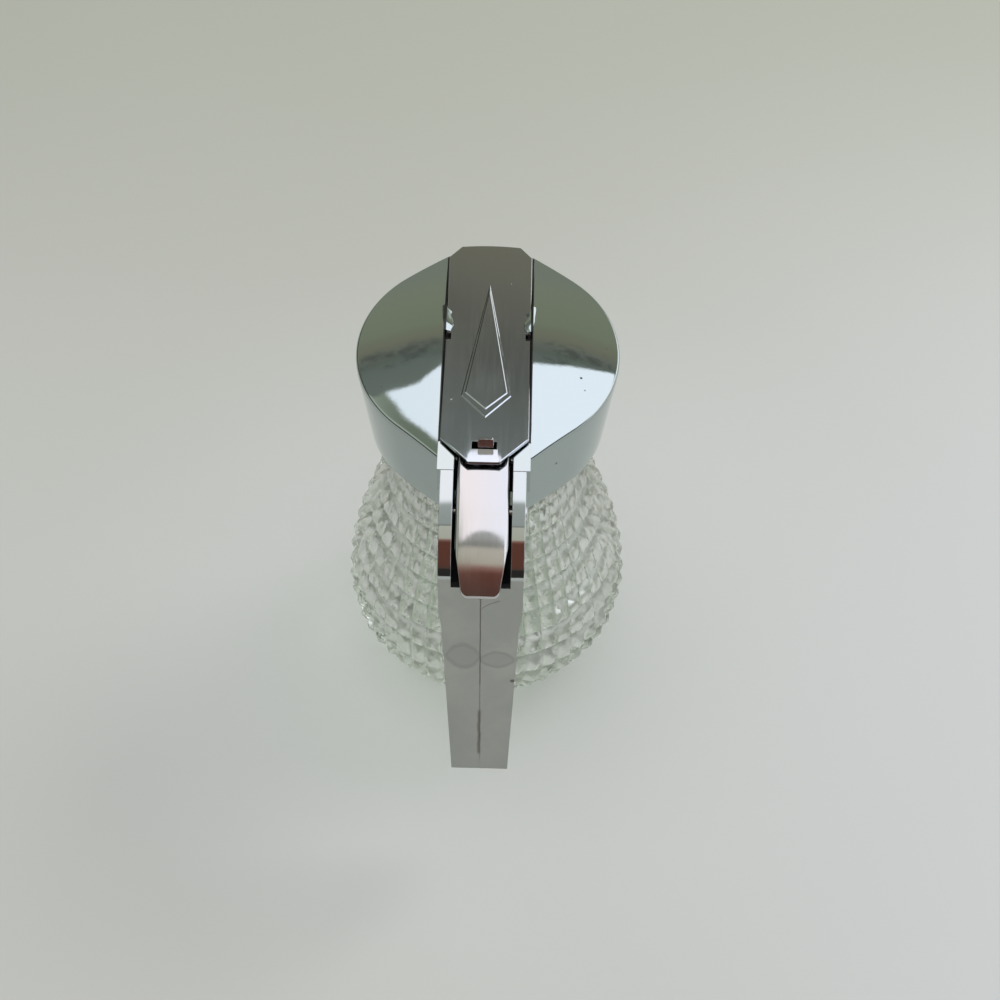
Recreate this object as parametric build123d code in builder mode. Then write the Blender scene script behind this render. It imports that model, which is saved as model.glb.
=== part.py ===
"""Syrup dispenser: a pressed glass jar with rows of points, under a plated lid with a sliding
cut-off plate. A thumb lever in the fork of the handle draws the plate back off the pouring mouth,
and a coil spring under the lever closes it again.

Frame: the origin is the centre of the jar's foot on the table, +Z is up, the pouring mouth is
towards +Y and the handle towards -Y. All sizes are in millimetres.
"""

from build123d import *

import os
from math import acos, asin, atan2, cos, hypot, pi, radians, sin, tan

os.makedirs("parts", exist_ok=True)

# ------------------------------------------------------------------ heights and fits
rim_z = 128.0  # the lid's rim, which every piece of the top hangs from
slide_gap = 0.15  # under and over the sliding plate
side_gap = 0.3  # each side of a piece that slides or swings between two walls
seat_gap = 0.1  # round a tenon, a peg or a ring in its seat
pin_gap = 0.05  # radial, round the lever's pin
past = 5.0  # how far a cut runs past the face it opens
through = 200.0  # longer than any piece, for what is cut right through

# ------------------------------------------------------------------ glass jar
foot_r = 26.0
foot_h = 3.0
foot_inset = 0.8  # the smooth foot stands this far inside the lowest grooves
belly_r = 42.5  # over the points, at the widest row
belly_z = 30.0
shoulder_r = 28.5
shoulder_z = 98.0
flank_fullness = 1.07  # above 1 keeps the flank wide for longer on its way up
foot_fullness = 1.5
columns = 48
rows = 11
point_share = 0.5  # height of a point over the width of its column
glass_wall = 3.2
base_thickness = 7.0
base_corner = 6.0
base_corner_r = 8.4
waist_z = 48.0  # the inner wall turns from bulging out to drawing in here
neck_r = 27.5
neck_wall = 4.0
mouth_drop = 10.0  # from the rim down to the jar's mouth
mouth_bevel = 0.8
thread_depth = 1.7
thread_band_h = 8.0
thread_from_mouth = 2.5

# ------------------------------------------------------------------ sealing ring
ring_thickness = 1.8

# ------------------------------------------------------------------ lid
lid_r = 36.0
skirt_h = 25.0
skirt_inset = 3.0  # the skirt is this much smaller at its lower edge
nose_x = 12.2  # half width of the blunt noses in front and behind
nose_reach = 1.0  # of the noses past the round of the lid
nose_bulge = 1.3
dome_rise = 6.5
dome_r = 145.0
rim_round = 1.0
thread_clearance = 0.4
bore_wall = 2.2  # between the threaded bore and the lever's pocket
roof_thickness = 2.2
ear_drop = 6.0  # the ears reach this far under the rim
ear_reach = 5.4  # past the rear nose
ear_fall = 0.38  # their tops slope down this much to the rear
mouth_half_x = 6.2
mouth_length = 4.4
mouth_behind_nose = 1.2
duct_from_y = 15.0
duct_floor = 1.8  # metal left between the ring's seat and the duct
lip_width = 1.2  # of the raised lip round the pouring mouth
seat_lip = 0.3  # how far the plate's seat shows past the plate in front
seat_corner_lip = 0.9  # and past its cut corners
lug_from_y = 4.2
lug_to_y = 13.5
lug_reach = 2.3  # how far a lug reaches in over the plate
lug_h = 1.0
lug_front_slope = 3.2
lug_rear_slope = 2.2
lug_heel = (0.9, 0.5)  # corner of its rough rear end, short of the tip and in from the end

# ------------------------------------------------------------------ sliding plate
plate_top = 5.0  # above the rim
plate_sheet = 0.8
plate_depth = 1.4  # with the turned-down sides
plate_half_x = 11.65
plate_front_bulge = 0.5
plate_front_half_x = 8.3
plate_front_cut = 4.1  # length of its cut corners in front
plate_rear_reach = 4.2  # past the rear nose
plate_rear_half_x = 4.3
plate_rear_cut = 7.8
plate_edge_round = 0.35
plate_rear_fall = 0.46  # the sheet is bent down this much behind the slot
plate_bend_gap = 0.1  # from the slot to the bend
slot_half_x = 3.3
slot_behind_tab = 0.2
slot_length = 2.6
notch_length = 2.6
notch_depth = 1.5
kite_top_y = 22.4
kite_wide_y = -18.0
kite_bottom_y = -25.6
kite_half_x = 6.7
kite_step = 0.22
kite_inner_top_y = 20.5
kite_inner_wide_y = -17.05
kite_inner_bottom_y = -22.8
kite_inner_half_x = 5.7
kite_slope_deg = 35.0  # of its walls, from upright

# ------------------------------------------------------------------ thumb lever
# Here and on the handle, behind is how far behind the lid's rear nose something is.
pivot_behind = 3.5
pivot_drop = 17.4  # under the rim
pin_r = 1.5
lever_half_x = 7.0
lever_sheet = 0.8
lever_crown_behind = 4.0  # the straight nose of the lever meets its arched back here
lever_crown_rise = 2.6
lever_start_deg = 5.0
lever_end_deg = 45.0
lever_arch_r = 47.0
tongue_from_behind = 23.8
tongue_half_x = 4.4
tongue_round = 2.0
cheek_boss_r = 3.6
tab_half_x = 2.05
tab_above_plate = 3.5
tab_round = 1.1
tab_inset = 1.4  # the tab's rear face, short of the nose
nose_length = 1.0  # of the narrow nose behind the tab
nose_half_x = 3.0
cheek_front_depth = 6.0  # under the lever's crown
cheek_heel_length = 8.0
cheek_heel_drop = 9.2
cheek_rear_drop = 8.4

# ------------------------------------------------------------------ handle
arm_outer_x = 11.2
slot_wall_x = lever_half_x + 0.75
handle_top = 3.0  # above the rim, where the arms leave the ears
arm_bulge = 2.8  # the arms' upper edge bows up this much on its way to the corner
handle_corner_behind = 29.2
handle_corner_drop = 7.0
handle_tip_behind = 40.0
handle_tip_drop = 88.0
handle_tip_depth = 6.5
handle_front_drop = 24.8
slot_floor_drop = 22.0
rear_wall = 1.7
notch_drop = 14.4  # the rear wall is cut down to here under the lever's tongue
grip_wall = 1.6
grip_front = [(27.5, 60.0), (21.2, 40.0), (9.0, 27.8)]  # its front line, from the tip up: behind, drop
shoulder_drop = 10.0  # the fork keeps its full width to here
grip_half_widths = [(26.0, 10.95), (30.0, 10.3), (38.0, 10.0), (60.0, 9.1), (93.0, 7.8)]  # drop, half width
tenon_inner_x = 8.6
tenon_outer_x = 10.6
tenon_low_drop = 20.0
tenon_high_drop = 9.0
tenon_reach = 2.0
peg_r = 1.3
peg_length = 2.5
peg_boss_r = 2.4
peg_seats = [(42.0, 6.5), (76.0, 4.0)]  # drop, distance in from the rear face
pin_head_r = 2.25
pin_head_h = 0.8
pin_head_bevel = 0.4

# ------------------------------------------------------------------ return spring
spring_behind = 15.0
spring_mean_r = 3.0
spring_wire_r = 0.35
spring_turns = 5
spring_boss_r = 2.3
spring_boss_h = 3.0

# ------------------------------------------------------------------ places worked out from the sizes
neck_bore_r = neck_r - neck_wall
thread_crest_r = neck_r + thread_depth
nose_y = lid_r + nose_reach
ear_end_y = -nose_y - ear_reach
mouth_to_y = nose_y - mouth_behind_nose
mouth_from_y = mouth_to_y - mouth_length
plate_front_y = nose_y
plate_front_corner_y = plate_front_y - plate_front_cut
plate_rear_y = -nose_y - plate_rear_reach
plate_rear_corner_y = plate_rear_y + plate_rear_cut
tab_y = -nose_y + tab_inset
slot_from_y = tab_y - slot_behind_tab
plate_bend_y = slot_from_y - plate_bend_gap
pivot_y = -nose_y - pivot_behind
lever_crown_y = -nose_y - lever_crown_behind
tongue_from_y = -nose_y - tongue_from_behind
spring_y = -nose_y - spring_behind
handle_corner_y = -nose_y - handle_corner_behind
handle_tip_y = -nose_y - handle_tip_behind
mouth_z = rim_z - mouth_drop
ring_top_z = mouth_z + ring_thickness
floor_z = rim_z + plate_top - plate_depth - slide_gap
plate_z = rim_z + plate_top
row_h = (shoulder_z - foot_h) / rows
pivot = (pivot_y, rim_z - pivot_drop)
pocket_front_y = -(thread_crest_r + thread_clearance + bore_wall)


def tip_radius(z):
    """Radius of the jar over its points at height z."""
    if z < belly_z:
        return belly_r - (belly_r - foot_r) * ((belly_z - z) / belly_z) ** foot_fullness
    climb = (z - belly_z) / (shoulder_z - belly_z)
    return shoulder_r + (belly_r - shoulder_r) * (1 + cos(pi * climb**flank_fullness)) / 2


def groove_radius(z):
    """Radius of the jar at the foot of its points at height z."""
    return tip_radius(z) * (1 - point_share * 2 * pi / columns)


def around(radius, column, z):
    """A place on the jar, counted in columns round the axis."""
    angle = 2 * pi * column / columns
    return Vector(radius * cos(angle), radius * sin(angle), z)


# ================================================================== glass jar
# Every point is a four-sided pyramid whose foot is the mesh of grooves between it and its
# neighbours. The skin of points closes over the foot and under the neck.
skin = []
for row in range(rows):
    low_z = foot_h + row * row_h
    high_z = low_z + row_h
    tip_z = low_z + row_h / 2
    for column in range(columns):
        tip = around(tip_radius(tip_z), column, tip_z)
        foot = [
            around(groove_radius(low_z), column - 0.5, low_z),
            around(groove_radius(low_z), column + 0.5, low_z),
            around(groove_radius(high_z), column + 0.5, high_z),
            around(groove_radius(high_z), column - 0.5, high_z),
        ]
        for side in range(4):
            skin.append(Face(Wire.make_polygon([foot[side], foot[(side + 1) % 4], tip])))
for z in (foot_h, shoulder_z):
    skin.append(Face(Wire.make_polygon([around(groove_radius(z), c + 0.5, z) for c in range(columns)])))

with BuildPart() as glass_jar:
    add(Solid(Shell(skin)))
    with BuildSketch(Plane.XY):
        Circle(groove_radius(foot_h) - foot_inset)
    extrude(amount=foot_h)
    with BuildSketch(Plane.XY.offset(shoulder_z)):
        Circle(neck_r)
    extrude(amount=mouth_z - shoulder_z)
    with BuildSketch(Plane.XY.offset(mouth_z - thread_from_mouth - thread_band_h)):
        Circle(thread_crest_r)
    extrude(amount=thread_band_h)
    with BuildSketch(Plane.XZ):
        with BuildLine():
            stations = [base_thickness + base_corner, belly_z, waist_z]
            belly_line = ThreePointArc(*[(groove_radius(z) - glass_wall, z) for z in stations])
            neck_line = TangentArc(belly_line @ 1, (neck_bore_r, shoulder_z), tangent=belly_line % 1)
            corner_x = (belly_line @ 0).X - base_corner
            RadiusArc((corner_x, base_thickness), belly_line @ 0, -base_corner_r)
            Polyline(neck_line @ 1, (neck_bore_r, mouth_z + past), (0, mouth_z + past), (0, base_thickness))
            Line((0, base_thickness), (corner_x, base_thickness))
        make_face()
    revolve(axis=Axis.Z, mode=Mode.SUBTRACT)
    chamfer(glass_jar.faces().sort_by(Axis.Z)[-1].edges(), mouth_bevel)
glass_jar.part.label = "glass_jar"
export_step(glass_jar.part, "parts/glass_jar.step")

# ================================================================== sealing ring
with BuildPart() as sealing_ring:
    with BuildSketch(Plane.XY.offset(mouth_z)):
        Circle(thread_crest_r + thread_clearance - side_gap)
        Circle(neck_bore_r, mode=Mode.SUBTRACT)
    extrude(amount=ring_thickness)
sealing_ring.part.label = "sealing_ring"
export_step(sealing_ring.part, "parts/sealing_ring.step")


# ================================================================== lid
def lid_plan(z, inset):
    """Plan of the lid at height z: a circle drawn out to a blunt nose in front and behind."""
    radius = lid_r - inset
    half_x = nose_x - inset * nose_x / lid_r
    end_y = nose_y - inset
    leave = atan2(end_y, half_x) - acos(radius / hypot(half_x, end_y))
    side_x, side_y = radius * cos(leave), radius * sin(leave)
    with BuildSketch(Plane.XY.offset(z)) as plan:
        with BuildLine():
            ThreePointArc((side_x, -side_y), (radius, 0), (side_x, side_y))
            Line((side_x, side_y), (half_x, end_y))
            ThreePointArc((half_x, end_y), (0, end_y + nose_bulge), (-half_x, end_y))
            Line((-half_x, end_y), (-side_x, side_y))
            ThreePointArc((-side_x, side_y), (-radius, 0), (-side_x, -side_y))
            Polyline((-side_x, -side_y), (-half_x, -end_y), (half_x, -end_y), (side_x, -side_y))
        make_face()
    return plan.sketch


def nose_rear_y(drop):
    """Where the flat rear of the lid's skirt stands, this far under the rim."""
    return -nose_y + skirt_inset * drop / skirt_h


# The plate's seat follows the plate's plan in front, and runs on over the ears behind.
seat_front_y = plate_front_y + seat_lip
seat_corner_y = plate_front_corner_y + seat_corner_lip
with BuildSketch(Plane.XY.offset(rim_z)) as seat_plan:
    with BuildLine():
        Polyline(
            (-plate_front_half_x, seat_front_y),
            (-nose_x, seat_corner_y),
            (-nose_x, ear_end_y),
            (nose_x, ear_end_y),
            (nose_x, seat_corner_y),
            (plate_front_half_x, seat_front_y),
        )
        ThreePointArc(
            (plate_front_half_x, seat_front_y),
            (0, seat_front_y + plate_front_bulge),
            (-plate_front_half_x, seat_front_y),
        )
    make_face()

with BuildPart() as lid_body:
    # the dome, with its rim rounded over
    extrude(lid_plan(rim_z, 0), amount=dome_rise)
    with Locations((0, 0, rim_z + dome_rise - dome_r)):
        Sphere(dome_r, mode=Mode.INTERSECT)
    fillet(lid_body.faces().sort_by(Axis.Z)[-1].edges(), rim_round)
    # the skirt
    loft([lid_plan(rim_z, 0), lid_plan(rim_z - skirt_h, skirt_inset)], ruled=True)
    # the seat of the plate, the ears, and the channel that guides the plate between the dome's halves
    extrude(seat_plan.sketch, amount=floor_z - rim_z)
    with BuildSketch(Plane.XY.offset(rim_z - ear_drop)):
        with Locations((0, (ear_end_y + nose_rear_y(skirt_h)) / 2)):
            Rectangle(2 * nose_x, nose_rear_y(skirt_h) - ear_end_y)
    extrude(amount=floor_z - rim_z + ear_drop)
    with BuildSketch(Plane.YZ):
        with BuildLine():
            Polyline(
                (-nose_y, floor_z),
                (ear_end_y, floor_z - ear_fall),
                (ear_end_y - past, floor_z - ear_fall),
                (ear_end_y - past, floor_z + past),
                (-nose_y, floor_z + past),
                close=True,
            )
        make_face()
    extrude(amount=nose_x + past, both=True, mode=Mode.SUBTRACT)
    with BuildSketch(Plane.XY.offset(floor_z)):
        Rectangle(2 * (plate_half_x + side_gap), through)
    extrude(amount=dome_rise, mode=Mode.SUBTRACT)
    # the lip round the pouring mouth, which the plate closes on
    with BuildSketch(Plane.XY.offset(floor_z)):
        with Locations((0, (mouth_from_y + mouth_to_y) / 2)):
            Rectangle(2 * (mouth_half_x + lip_width), mouth_to_y - mouth_from_y + 2 * lip_width)
    extrude(amount=plate_depth - plate_sheet)
    # inside: the threaded bore, the chamber over the jar's mouth, and the duct to the pouring mouth
    with BuildSketch(Plane.XY.offset(rim_z - skirt_h - past)):
        Circle(thread_crest_r + thread_clearance)
    extrude(amount=ring_top_z - rim_z + skirt_h + past, mode=Mode.SUBTRACT)
    with BuildSketch(Plane.XY.offset(ring_top_z)):
        Circle(neck_bore_r)
    extrude(amount=floor_z - roof_thickness - ring_top_z, mode=Mode.SUBTRACT)
    with BuildSketch(Plane.XY.offset(ring_top_z + duct_floor)):
        with Locations((0, (duct_from_y + mouth_to_y) / 2)):
            Rectangle(2 * mouth_half_x, mouth_to_y - duct_from_y)
    extrude(amount=floor_z - roof_thickness - ring_top_z - duct_floor, mode=Mode.SUBTRACT)
    with BuildSketch(Plane.XY.offset(floor_z - roof_thickness)):
        with Locations((0, (mouth_from_y + mouth_to_y) / 2)):
            Rectangle(2 * mouth_half_x, mouth_to_y - mouth_from_y)
    extrude(amount=roof_thickness + past, mode=Mode.SUBTRACT)
    # the pocket that the lever's nose swings in, between the ears
    with BuildSketch(Plane.XY.offset(rim_z - slot_floor_drop - side_gap)):
        with Locations((0, (pocket_front_y + ear_end_y - past) / 2)):
            Rectangle(2 * slot_wall_x, pocket_front_y - ear_end_y + past)
    extrude(amount=slot_floor_drop + plate_top + past, mode=Mode.SUBTRACT)
    # mortises for the handle's tenons
    for side in (-1, 1):
        with BuildSketch(Plane.XY.offset(rim_z - tenon_low_drop - seat_gap)):
            with Locations((side * (tenon_inner_x + tenon_outer_x) / 2, nose_rear_y(0))):
                Rectangle(
                    tenon_outer_x - tenon_inner_x + 2 * seat_gap,
                    2 * (nose_rear_y(tenon_low_drop) - nose_rear_y(0) + tenon_reach + seat_gap),
                )
        extrude(amount=tenon_low_drop - tenon_high_drop + 2 * seat_gap, mode=Mode.SUBTRACT)
    # lugs turned in over the plate's edges, to hold it down
    for side in (-1, 1):
        wall_x = side * (plate_half_x + side_gap)
        with BuildSketch(Plane.XY.offset(plate_z + slide_gap)):
            with BuildLine():
                Polyline(
                    (wall_x + side, lug_to_y),
                    (wall_x, lug_to_y),
                    (wall_x - side * lug_reach, lug_to_y - lug_front_slope),
                    (wall_x - side * lug_reach, lug_from_y + lug_rear_slope),
                    (wall_x - side * (lug_reach - lug_heel[0]), lug_from_y + lug_heel[1]),
                    (wall_x, lug_from_y),
                    (wall_x + side, lug_from_y),
                    close=True,
                )
            make_face()
        extrude(amount=lug_h)
lid_body.part.label = "lid_body"
export_step(lid_body.part, "parts/lid_body.step")

# ================================================================== sliding plate
with BuildPart() as slide_plate:
    with BuildSketch(Plane.XY.offset(plate_z - plate_sheet - plate_rear_fall)):
        with BuildLine():
            Polyline(
                (-plate_front_half_x, plate_front_y),
                (-plate_half_x, plate_front_corner_y),
                (-plate_half_x, plate_rear_corner_y),
                (-plate_rear_half_x, plate_rear_y),
                (plate_rear_half_x, plate_rear_y),
                (plate_half_x, plate_rear_corner_y),
                (plate_half_x, plate_front_corner_y),
                (plate_front_half_x, plate_front_y),
            )
            ThreePointArc(
                (plate_front_half_x, plate_front_y),
                (0, plate_front_y + plate_front_bulge),
                (-plate_front_half_x, plate_front_y),
            )
        make_face()
    extrude(amount=plate_sheet + plate_rear_fall)
    # the sheet seen from the side, bent down behind the slot
    with BuildSketch(Plane.YZ):
        with BuildLine():
            Polyline(
                (plate_front_y + past, plate_z),
                (plate_bend_y, plate_z),
                (plate_rear_y, plate_z - plate_rear_fall),
                (plate_rear_y, plate_z - plate_rear_fall - plate_sheet),
                (plate_bend_y, plate_z - plate_sheet),
                (plate_front_y + past, plate_z - plate_sheet),
                close=True,
            )
        make_face()
    extrude(amount=plate_half_x + past, both=True, mode=Mode.INTERSECT)
    # sides turned down
    with BuildSketch(Plane.XY.offset(plate_z - plate_depth)):
        with Locations((0, (plate_front_corner_y + plate_rear_corner_y) / 2)):
            Rectangle(2 * plate_half_x, plate_front_corner_y - plate_rear_corner_y)
            Rectangle(
                2 * (plate_half_x - plate_sheet),
                plate_front_corner_y - plate_rear_corner_y,
                mode=Mode.SUBTRACT,
            )
    extrude(amount=plate_depth - plate_sheet)
    upper = slide_plate.faces().sort_by(Axis.Z)[-1]
    bend = upper.edges().filter_by(Axis.X).sort_by(Axis.Y)[0]
    fillet([edge for edge in upper.edges() if edge != bend], plate_edge_round)
    # the slot for the lever's tab, and a notch behind each lug
    with BuildSketch(Plane.XY.offset(plate_z - plate_depth)):
        with Locations((0, slot_from_y + slot_length / 2)):
            Rectangle(2 * slot_half_x, slot_length)
        for side in (-1, 1):
            with Locations((side * plate_half_x, lug_from_y - side_gap - notch_length / 2)):
                Rectangle(2 * notch_depth, notch_length)
    extrude(amount=plate_depth + past, mode=Mode.SUBTRACT)
    # the raised kite, in two steps with sloped walls
    kites = [
        (kite_top_y, kite_wide_y, kite_bottom_y, kite_half_x),
        (kite_inner_top_y, kite_inner_wide_y, kite_inner_bottom_y, kite_inner_half_x),
    ]
    for step, (top_y, wide_y, bottom_y, half_x) in enumerate(kites):
        with BuildSketch(Plane.XY.offset(plate_z + step * kite_step)):
            with BuildLine():
                Polyline((0, top_y), (-half_x, wide_y), (0, bottom_y), (half_x, wide_y), close=True)
            make_face()
        extrude(amount=kite_step, taper=kite_slope_deg)
slide_plate.part.label = "slide_plate"
export_step(slide_plate.part, "parts/slide_plate.step")

# ================================================================== thumb lever
arch_centre = (
    lever_crown_y + lever_arch_r * sin(radians(lever_start_deg)),
    rim_z + lever_crown_rise - lever_arch_r * cos(radians(lever_start_deg)),
)
arch_turn_deg = lever_end_deg - lever_start_deg
nose_slope = tan(radians(lever_start_deg))


def lever_top_z(y):
    """Height of the lever's upper face over the place y."""
    if y > lever_crown_y:
        return rim_z + lever_crown_rise + (y - lever_crown_y) * nose_slope
    reach = y - arch_centre[0]
    return arch_centre[1] + (lever_arch_r**2 - reach**2) ** 0.5


nose_end_y = tab_y + lever_sheet
nose_root_y = tab_y - nose_length
tongue_end_y = arch_centre[0] - lever_arch_r * sin(radians(lever_end_deg))
with BuildPart() as thumb_lever:
    # the arched back and the nose, one bent sheet
    with BuildSketch(Plane.YZ) as back_side:
        with BuildLine():
            upper = CenterArc(arch_centre, lever_arch_r, 90 + lever_start_deg, arch_turn_deg)
            lower = CenterArc(arch_centre, lever_arch_r - lever_sheet, 90 + lever_start_deg, arch_turn_deg)
            Line(upper @ 1, lower @ 1)
            Polyline(
                upper @ 0,
                (nose_end_y, lever_top_z(nose_end_y)),
                (nose_end_y, lever_top_z(nose_end_y) - lever_sheet),
                lower @ 0,
            )
        make_face()
    extrude(amount=lever_half_x, both=True)
    # its plan: a narrow nose in front, the thumb's tongue behind
    with BuildSketch(Plane.XY.offset(rim_z - pivot_drop - past)) as lever_plan:
        with BuildLine():
            Polyline(
                (-nose_half_x, nose_end_y + past),
                (-nose_half_x, nose_root_y),
                (-lever_half_x, nose_root_y),
                (-lever_half_x, tongue_from_y),
                (-tongue_half_x, tongue_end_y),
                (tongue_half_x, tongue_end_y),
                (lever_half_x, tongue_from_y),
                (lever_half_x, nose_root_y),
                (nose_half_x, nose_root_y),
                (nose_half_x, nose_end_y + past),
                close=True,
            )
        make_face()
        fillet(lever_plan.vertices().group_by(Axis.Y)[0], tongue_round)
    extrude(amount=through, mode=Mode.INTERSECT)
    # cheeks that go down to the pin
    for side in (-1, 1):
        inner_x = side * (lever_half_x - lever_sheet)
        with BuildSketch(Plane.YZ.offset(inner_x)):
            with Locations(pivot):
                Circle(cheek_boss_r)
            with BuildLine():
                Polyline(
                    (pivot[0] + cheek_boss_r, pivot[1]),
                    (nose_root_y, rim_z + lever_crown_rise - cheek_front_depth),
                    (nose_root_y, rim_z + past),
                    (tongue_from_y, rim_z + past),
                    (tongue_from_y, rim_z - cheek_rear_drop),
                    (tongue_from_y + cheek_heel_length, rim_z - cheek_heel_drop),
                    (pivot[0] - cheek_boss_r, pivot[1]),
                    close=True,
                )
            make_face()
            with Locations(arch_centre):
                Circle(lever_arch_r, mode=Mode.INTERSECT)
            with Locations(pivot):
                Circle(pin_r + pin_gap, mode=Mode.SUBTRACT)
        extrude(amount=side * lever_sheet)
    # the tab that stands up through the plate's slot
    with BuildSketch(Plane.XZ.offset(-nose_end_y)) as tab_face:
        tab_low = lever_top_z(nose_end_y) - lever_sheet
        tab_high = plate_z + tab_above_plate
        with Locations((0, (tab_low + tab_high) / 2)):
            Rectangle(2 * tab_half_x, tab_high - tab_low)
        fillet(tab_face.vertices().group_by(Axis.Z)[-1], tab_round)
    extrude(amount=lever_sheet)
thumb_lever.part.label = "thumb_lever"
export_step(thumb_lever.part, "parts/thumb_lever.step")

# ================================================================== handle
corner = (handle_corner_y, rim_z - handle_corner_drop)
tip_rear = (handle_tip_y, rim_z - handle_tip_drop)
rear_lean = (tip_rear[0] - corner[0]) / (corner[1] - tip_rear[1])


def rear_face_y(z):
    """Where the handle's rear face stands at height z."""
    return corner[0] + rear_lean * (corner[1] - z)


with BuildSketch(Plane.YZ) as handle_side:
    with BuildLine():
        arm_top = (ear_end_y, rim_z + handle_top)
        SagittaArc(arm_top, corner, -arm_bulge)
        Polyline(corner, tip_rear, (tip_rear[0] + handle_tip_depth, tip_rear[1]))
        Spline(
            (tip_rear[0] + handle_tip_depth, tip_rear[1]),
            *[(-nose_y - behind, rim_z - drop) for behind, drop in grip_front],
            (nose_rear_y(handle_front_drop), rim_z - handle_front_drop),
        )
        Polyline(
            (nose_rear_y(handle_front_drop), rim_z - handle_front_drop),
            (nose_rear_y(ear_drop), rim_z - ear_drop),
            (ear_end_y, rim_z - ear_drop),
            arm_top,
        )
    make_face()


def handle_front(inset):
    """Half of the handle seen from behind: full width at the fork, then tapering to the tip."""
    with BuildSketch(Plane.XZ) as front:
        with BuildLine():
            Polyline(
                (0, rim_z + handle_top + past),
                (arm_outer_x - inset, rim_z + handle_top + past),
                (arm_outer_x - inset, rim_z - shoulder_drop),
                *[(half_x - inset, rim_z - drop) for drop, half_x in grip_half_widths],
                (0, rim_z - grip_half_widths[-1][0]),
                close=True,
            )
        make_face()
    return front.sketch


# the hollow of the grip, below the floor of the fork
with BuildPart() as grip_hollow:
    with BuildSketch(Plane.YZ):
        add(handle_side.sketch)
        offset(amount=-grip_wall, kind=Kind.INTERSECTION, mode=Mode.REPLACE)
        with Locations((handle_corner_y, rim_z - slot_floor_drop - grip_wall)):
            Rectangle(through, through, align=(Align.CENTER, Align.MIN), mode=Mode.SUBTRACT)
    extrude(amount=arm_outer_x)
    extrude(handle_front(grip_wall), amount=through, both=True, mode=Mode.INTERSECT)

peg_places = [(rear_face_y(rim_z - drop) + inset, rim_z - drop) for drop, inset in peg_seats]


def handle_half():
    """The half at +X: an arm of the fork above, half of the hollow grip below, and its tenon."""
    with BuildPart() as half:
        extrude(handle_side.sketch, amount=arm_outer_x)
        # the fork's slot, and the notch in its rear wall under the tongue
        with BuildSketch(Plane.YZ) as fork_slot:
            slot_floor_z = rim_z - slot_floor_drop
            with BuildLine():
                Polyline(
                    (pocket_front_y + past, slot_floor_z),
                    (rear_face_y(slot_floor_z) + rear_wall, slot_floor_z),
                    (rear_face_y(rim_z - notch_drop) + rear_wall, rim_z - notch_drop),
                    (rear_face_y(rim_z - notch_drop) - past, rim_z - notch_drop),
                    (rear_face_y(rim_z - notch_drop) - past, rim_z + handle_top + past),
                    (pocket_front_y + past, rim_z + handle_top + past),
                    close=True,
                )
            make_face()
        extrude(amount=slot_wall_x, mode=Mode.SUBTRACT)
        add(grip_hollow.part, mode=Mode.SUBTRACT)
        # half of the round seat that centres the spring
        with BuildSketch(Plane.XY.offset(rim_z - slot_floor_drop)):
            with Locations((0, spring_y)):
                Circle(spring_boss_r)
            with Locations((-slot_wall_x / 2, spring_y)):
                Rectangle(slot_wall_x, slot_wall_x, mode=Mode.SUBTRACT)
        extrude(amount=spring_boss_h)
        # bosses for the pegs that line the halves up, out to the grip's walls
        with BuildSketch(Plane.YZ):
            with Locations(*peg_places):
                Circle(peg_boss_r)
        extrude(amount=arm_outer_x)
        extrude(handle_front(0), amount=through, both=True, mode=Mode.INTERSECT)
        # the tenon that goes into the lid's skirt
        with BuildSketch(Plane.XY.offset(rim_z - tenon_low_drop)):
            with Locations(((tenon_inner_x + tenon_outer_x) / 2, nose_rear_y(0))):
                Rectangle(
                    tenon_outer_x - tenon_inner_x,
                    2 * (nose_rear_y(tenon_low_drop) - nose_rear_y(0) + tenon_reach),
                )
        extrude(amount=tenon_low_drop - tenon_high_drop)
        # the bore for the lever's pin
        with BuildSketch(Plane.YZ):
            with Locations(pivot):
                Circle(pin_r + pin_gap)
        extrude(amount=arm_outer_x + past, mode=Mode.SUBTRACT)
    return half.part


with BuildPart() as handle_right:
    add(handle_half())
    with BuildSketch(Plane.YZ):
        with Locations(*peg_places):
            Circle(peg_r + seat_gap)
    extrude(amount=peg_length + side_gap, mode=Mode.SUBTRACT)
handle_right.part.label = "handle_right"
export_step(handle_right.part, "parts/handle_right.step")

with BuildPart() as handle_left:
    add(mirror(handle_half(), about=Plane.YZ, mode=Mode.PRIVATE))
    with BuildSketch(Plane.YZ):
        with Locations(*peg_places):
            Circle(peg_r)
    extrude(amount=peg_length)
handle_left.part.label = "handle_left"
export_step(handle_left.part, "parts/handle_left.step")

# ================================================================== lever pin
with BuildPart() as lever_pin:
    with BuildSketch(Plane.YZ.offset(-arm_outer_x - pin_head_h)):
        with Locations(pivot):
            Circle(pin_head_r)
    extrude(amount=pin_head_h)
    with BuildSketch(Plane.YZ.offset(-arm_outer_x)):
        with Locations(pivot):
            Circle(pin_r)
    extrude(amount=2 * arm_outer_x)
    with BuildSketch(Plane.YZ.offset(arm_outer_x)):
        with Locations(pivot):
            Circle(pin_head_r)
    extrude(amount=pin_head_h)
    ends = lever_pin.faces().sort_by(Axis.X)
    chamfer([*ends[0].edges(), *ends[-1].edges()], pin_head_bevel)
lever_pin.part.label = "lever_pin"
export_step(lever_pin.part, "parts/lever_pin.step")

# ================================================================== return spring
# An open coil that stands on the fork's floor and bears under the lever's back. Each half turn is
# two arcs that meet smoothly.
spring_low_z = rim_z - slot_floor_drop + spring_wire_r
spring_under_y = spring_y - spring_mean_r - spring_wire_r
slope = asin((arch_centre[0] - spring_under_y) / lever_arch_r)
spring_high_z = lever_top_z(spring_under_y) - lever_sheet / cos(slope) - side_gap - spring_wire_r
climb = (spring_high_z - spring_low_z) / (2 * pi * spring_turns)  # for each radian


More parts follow.
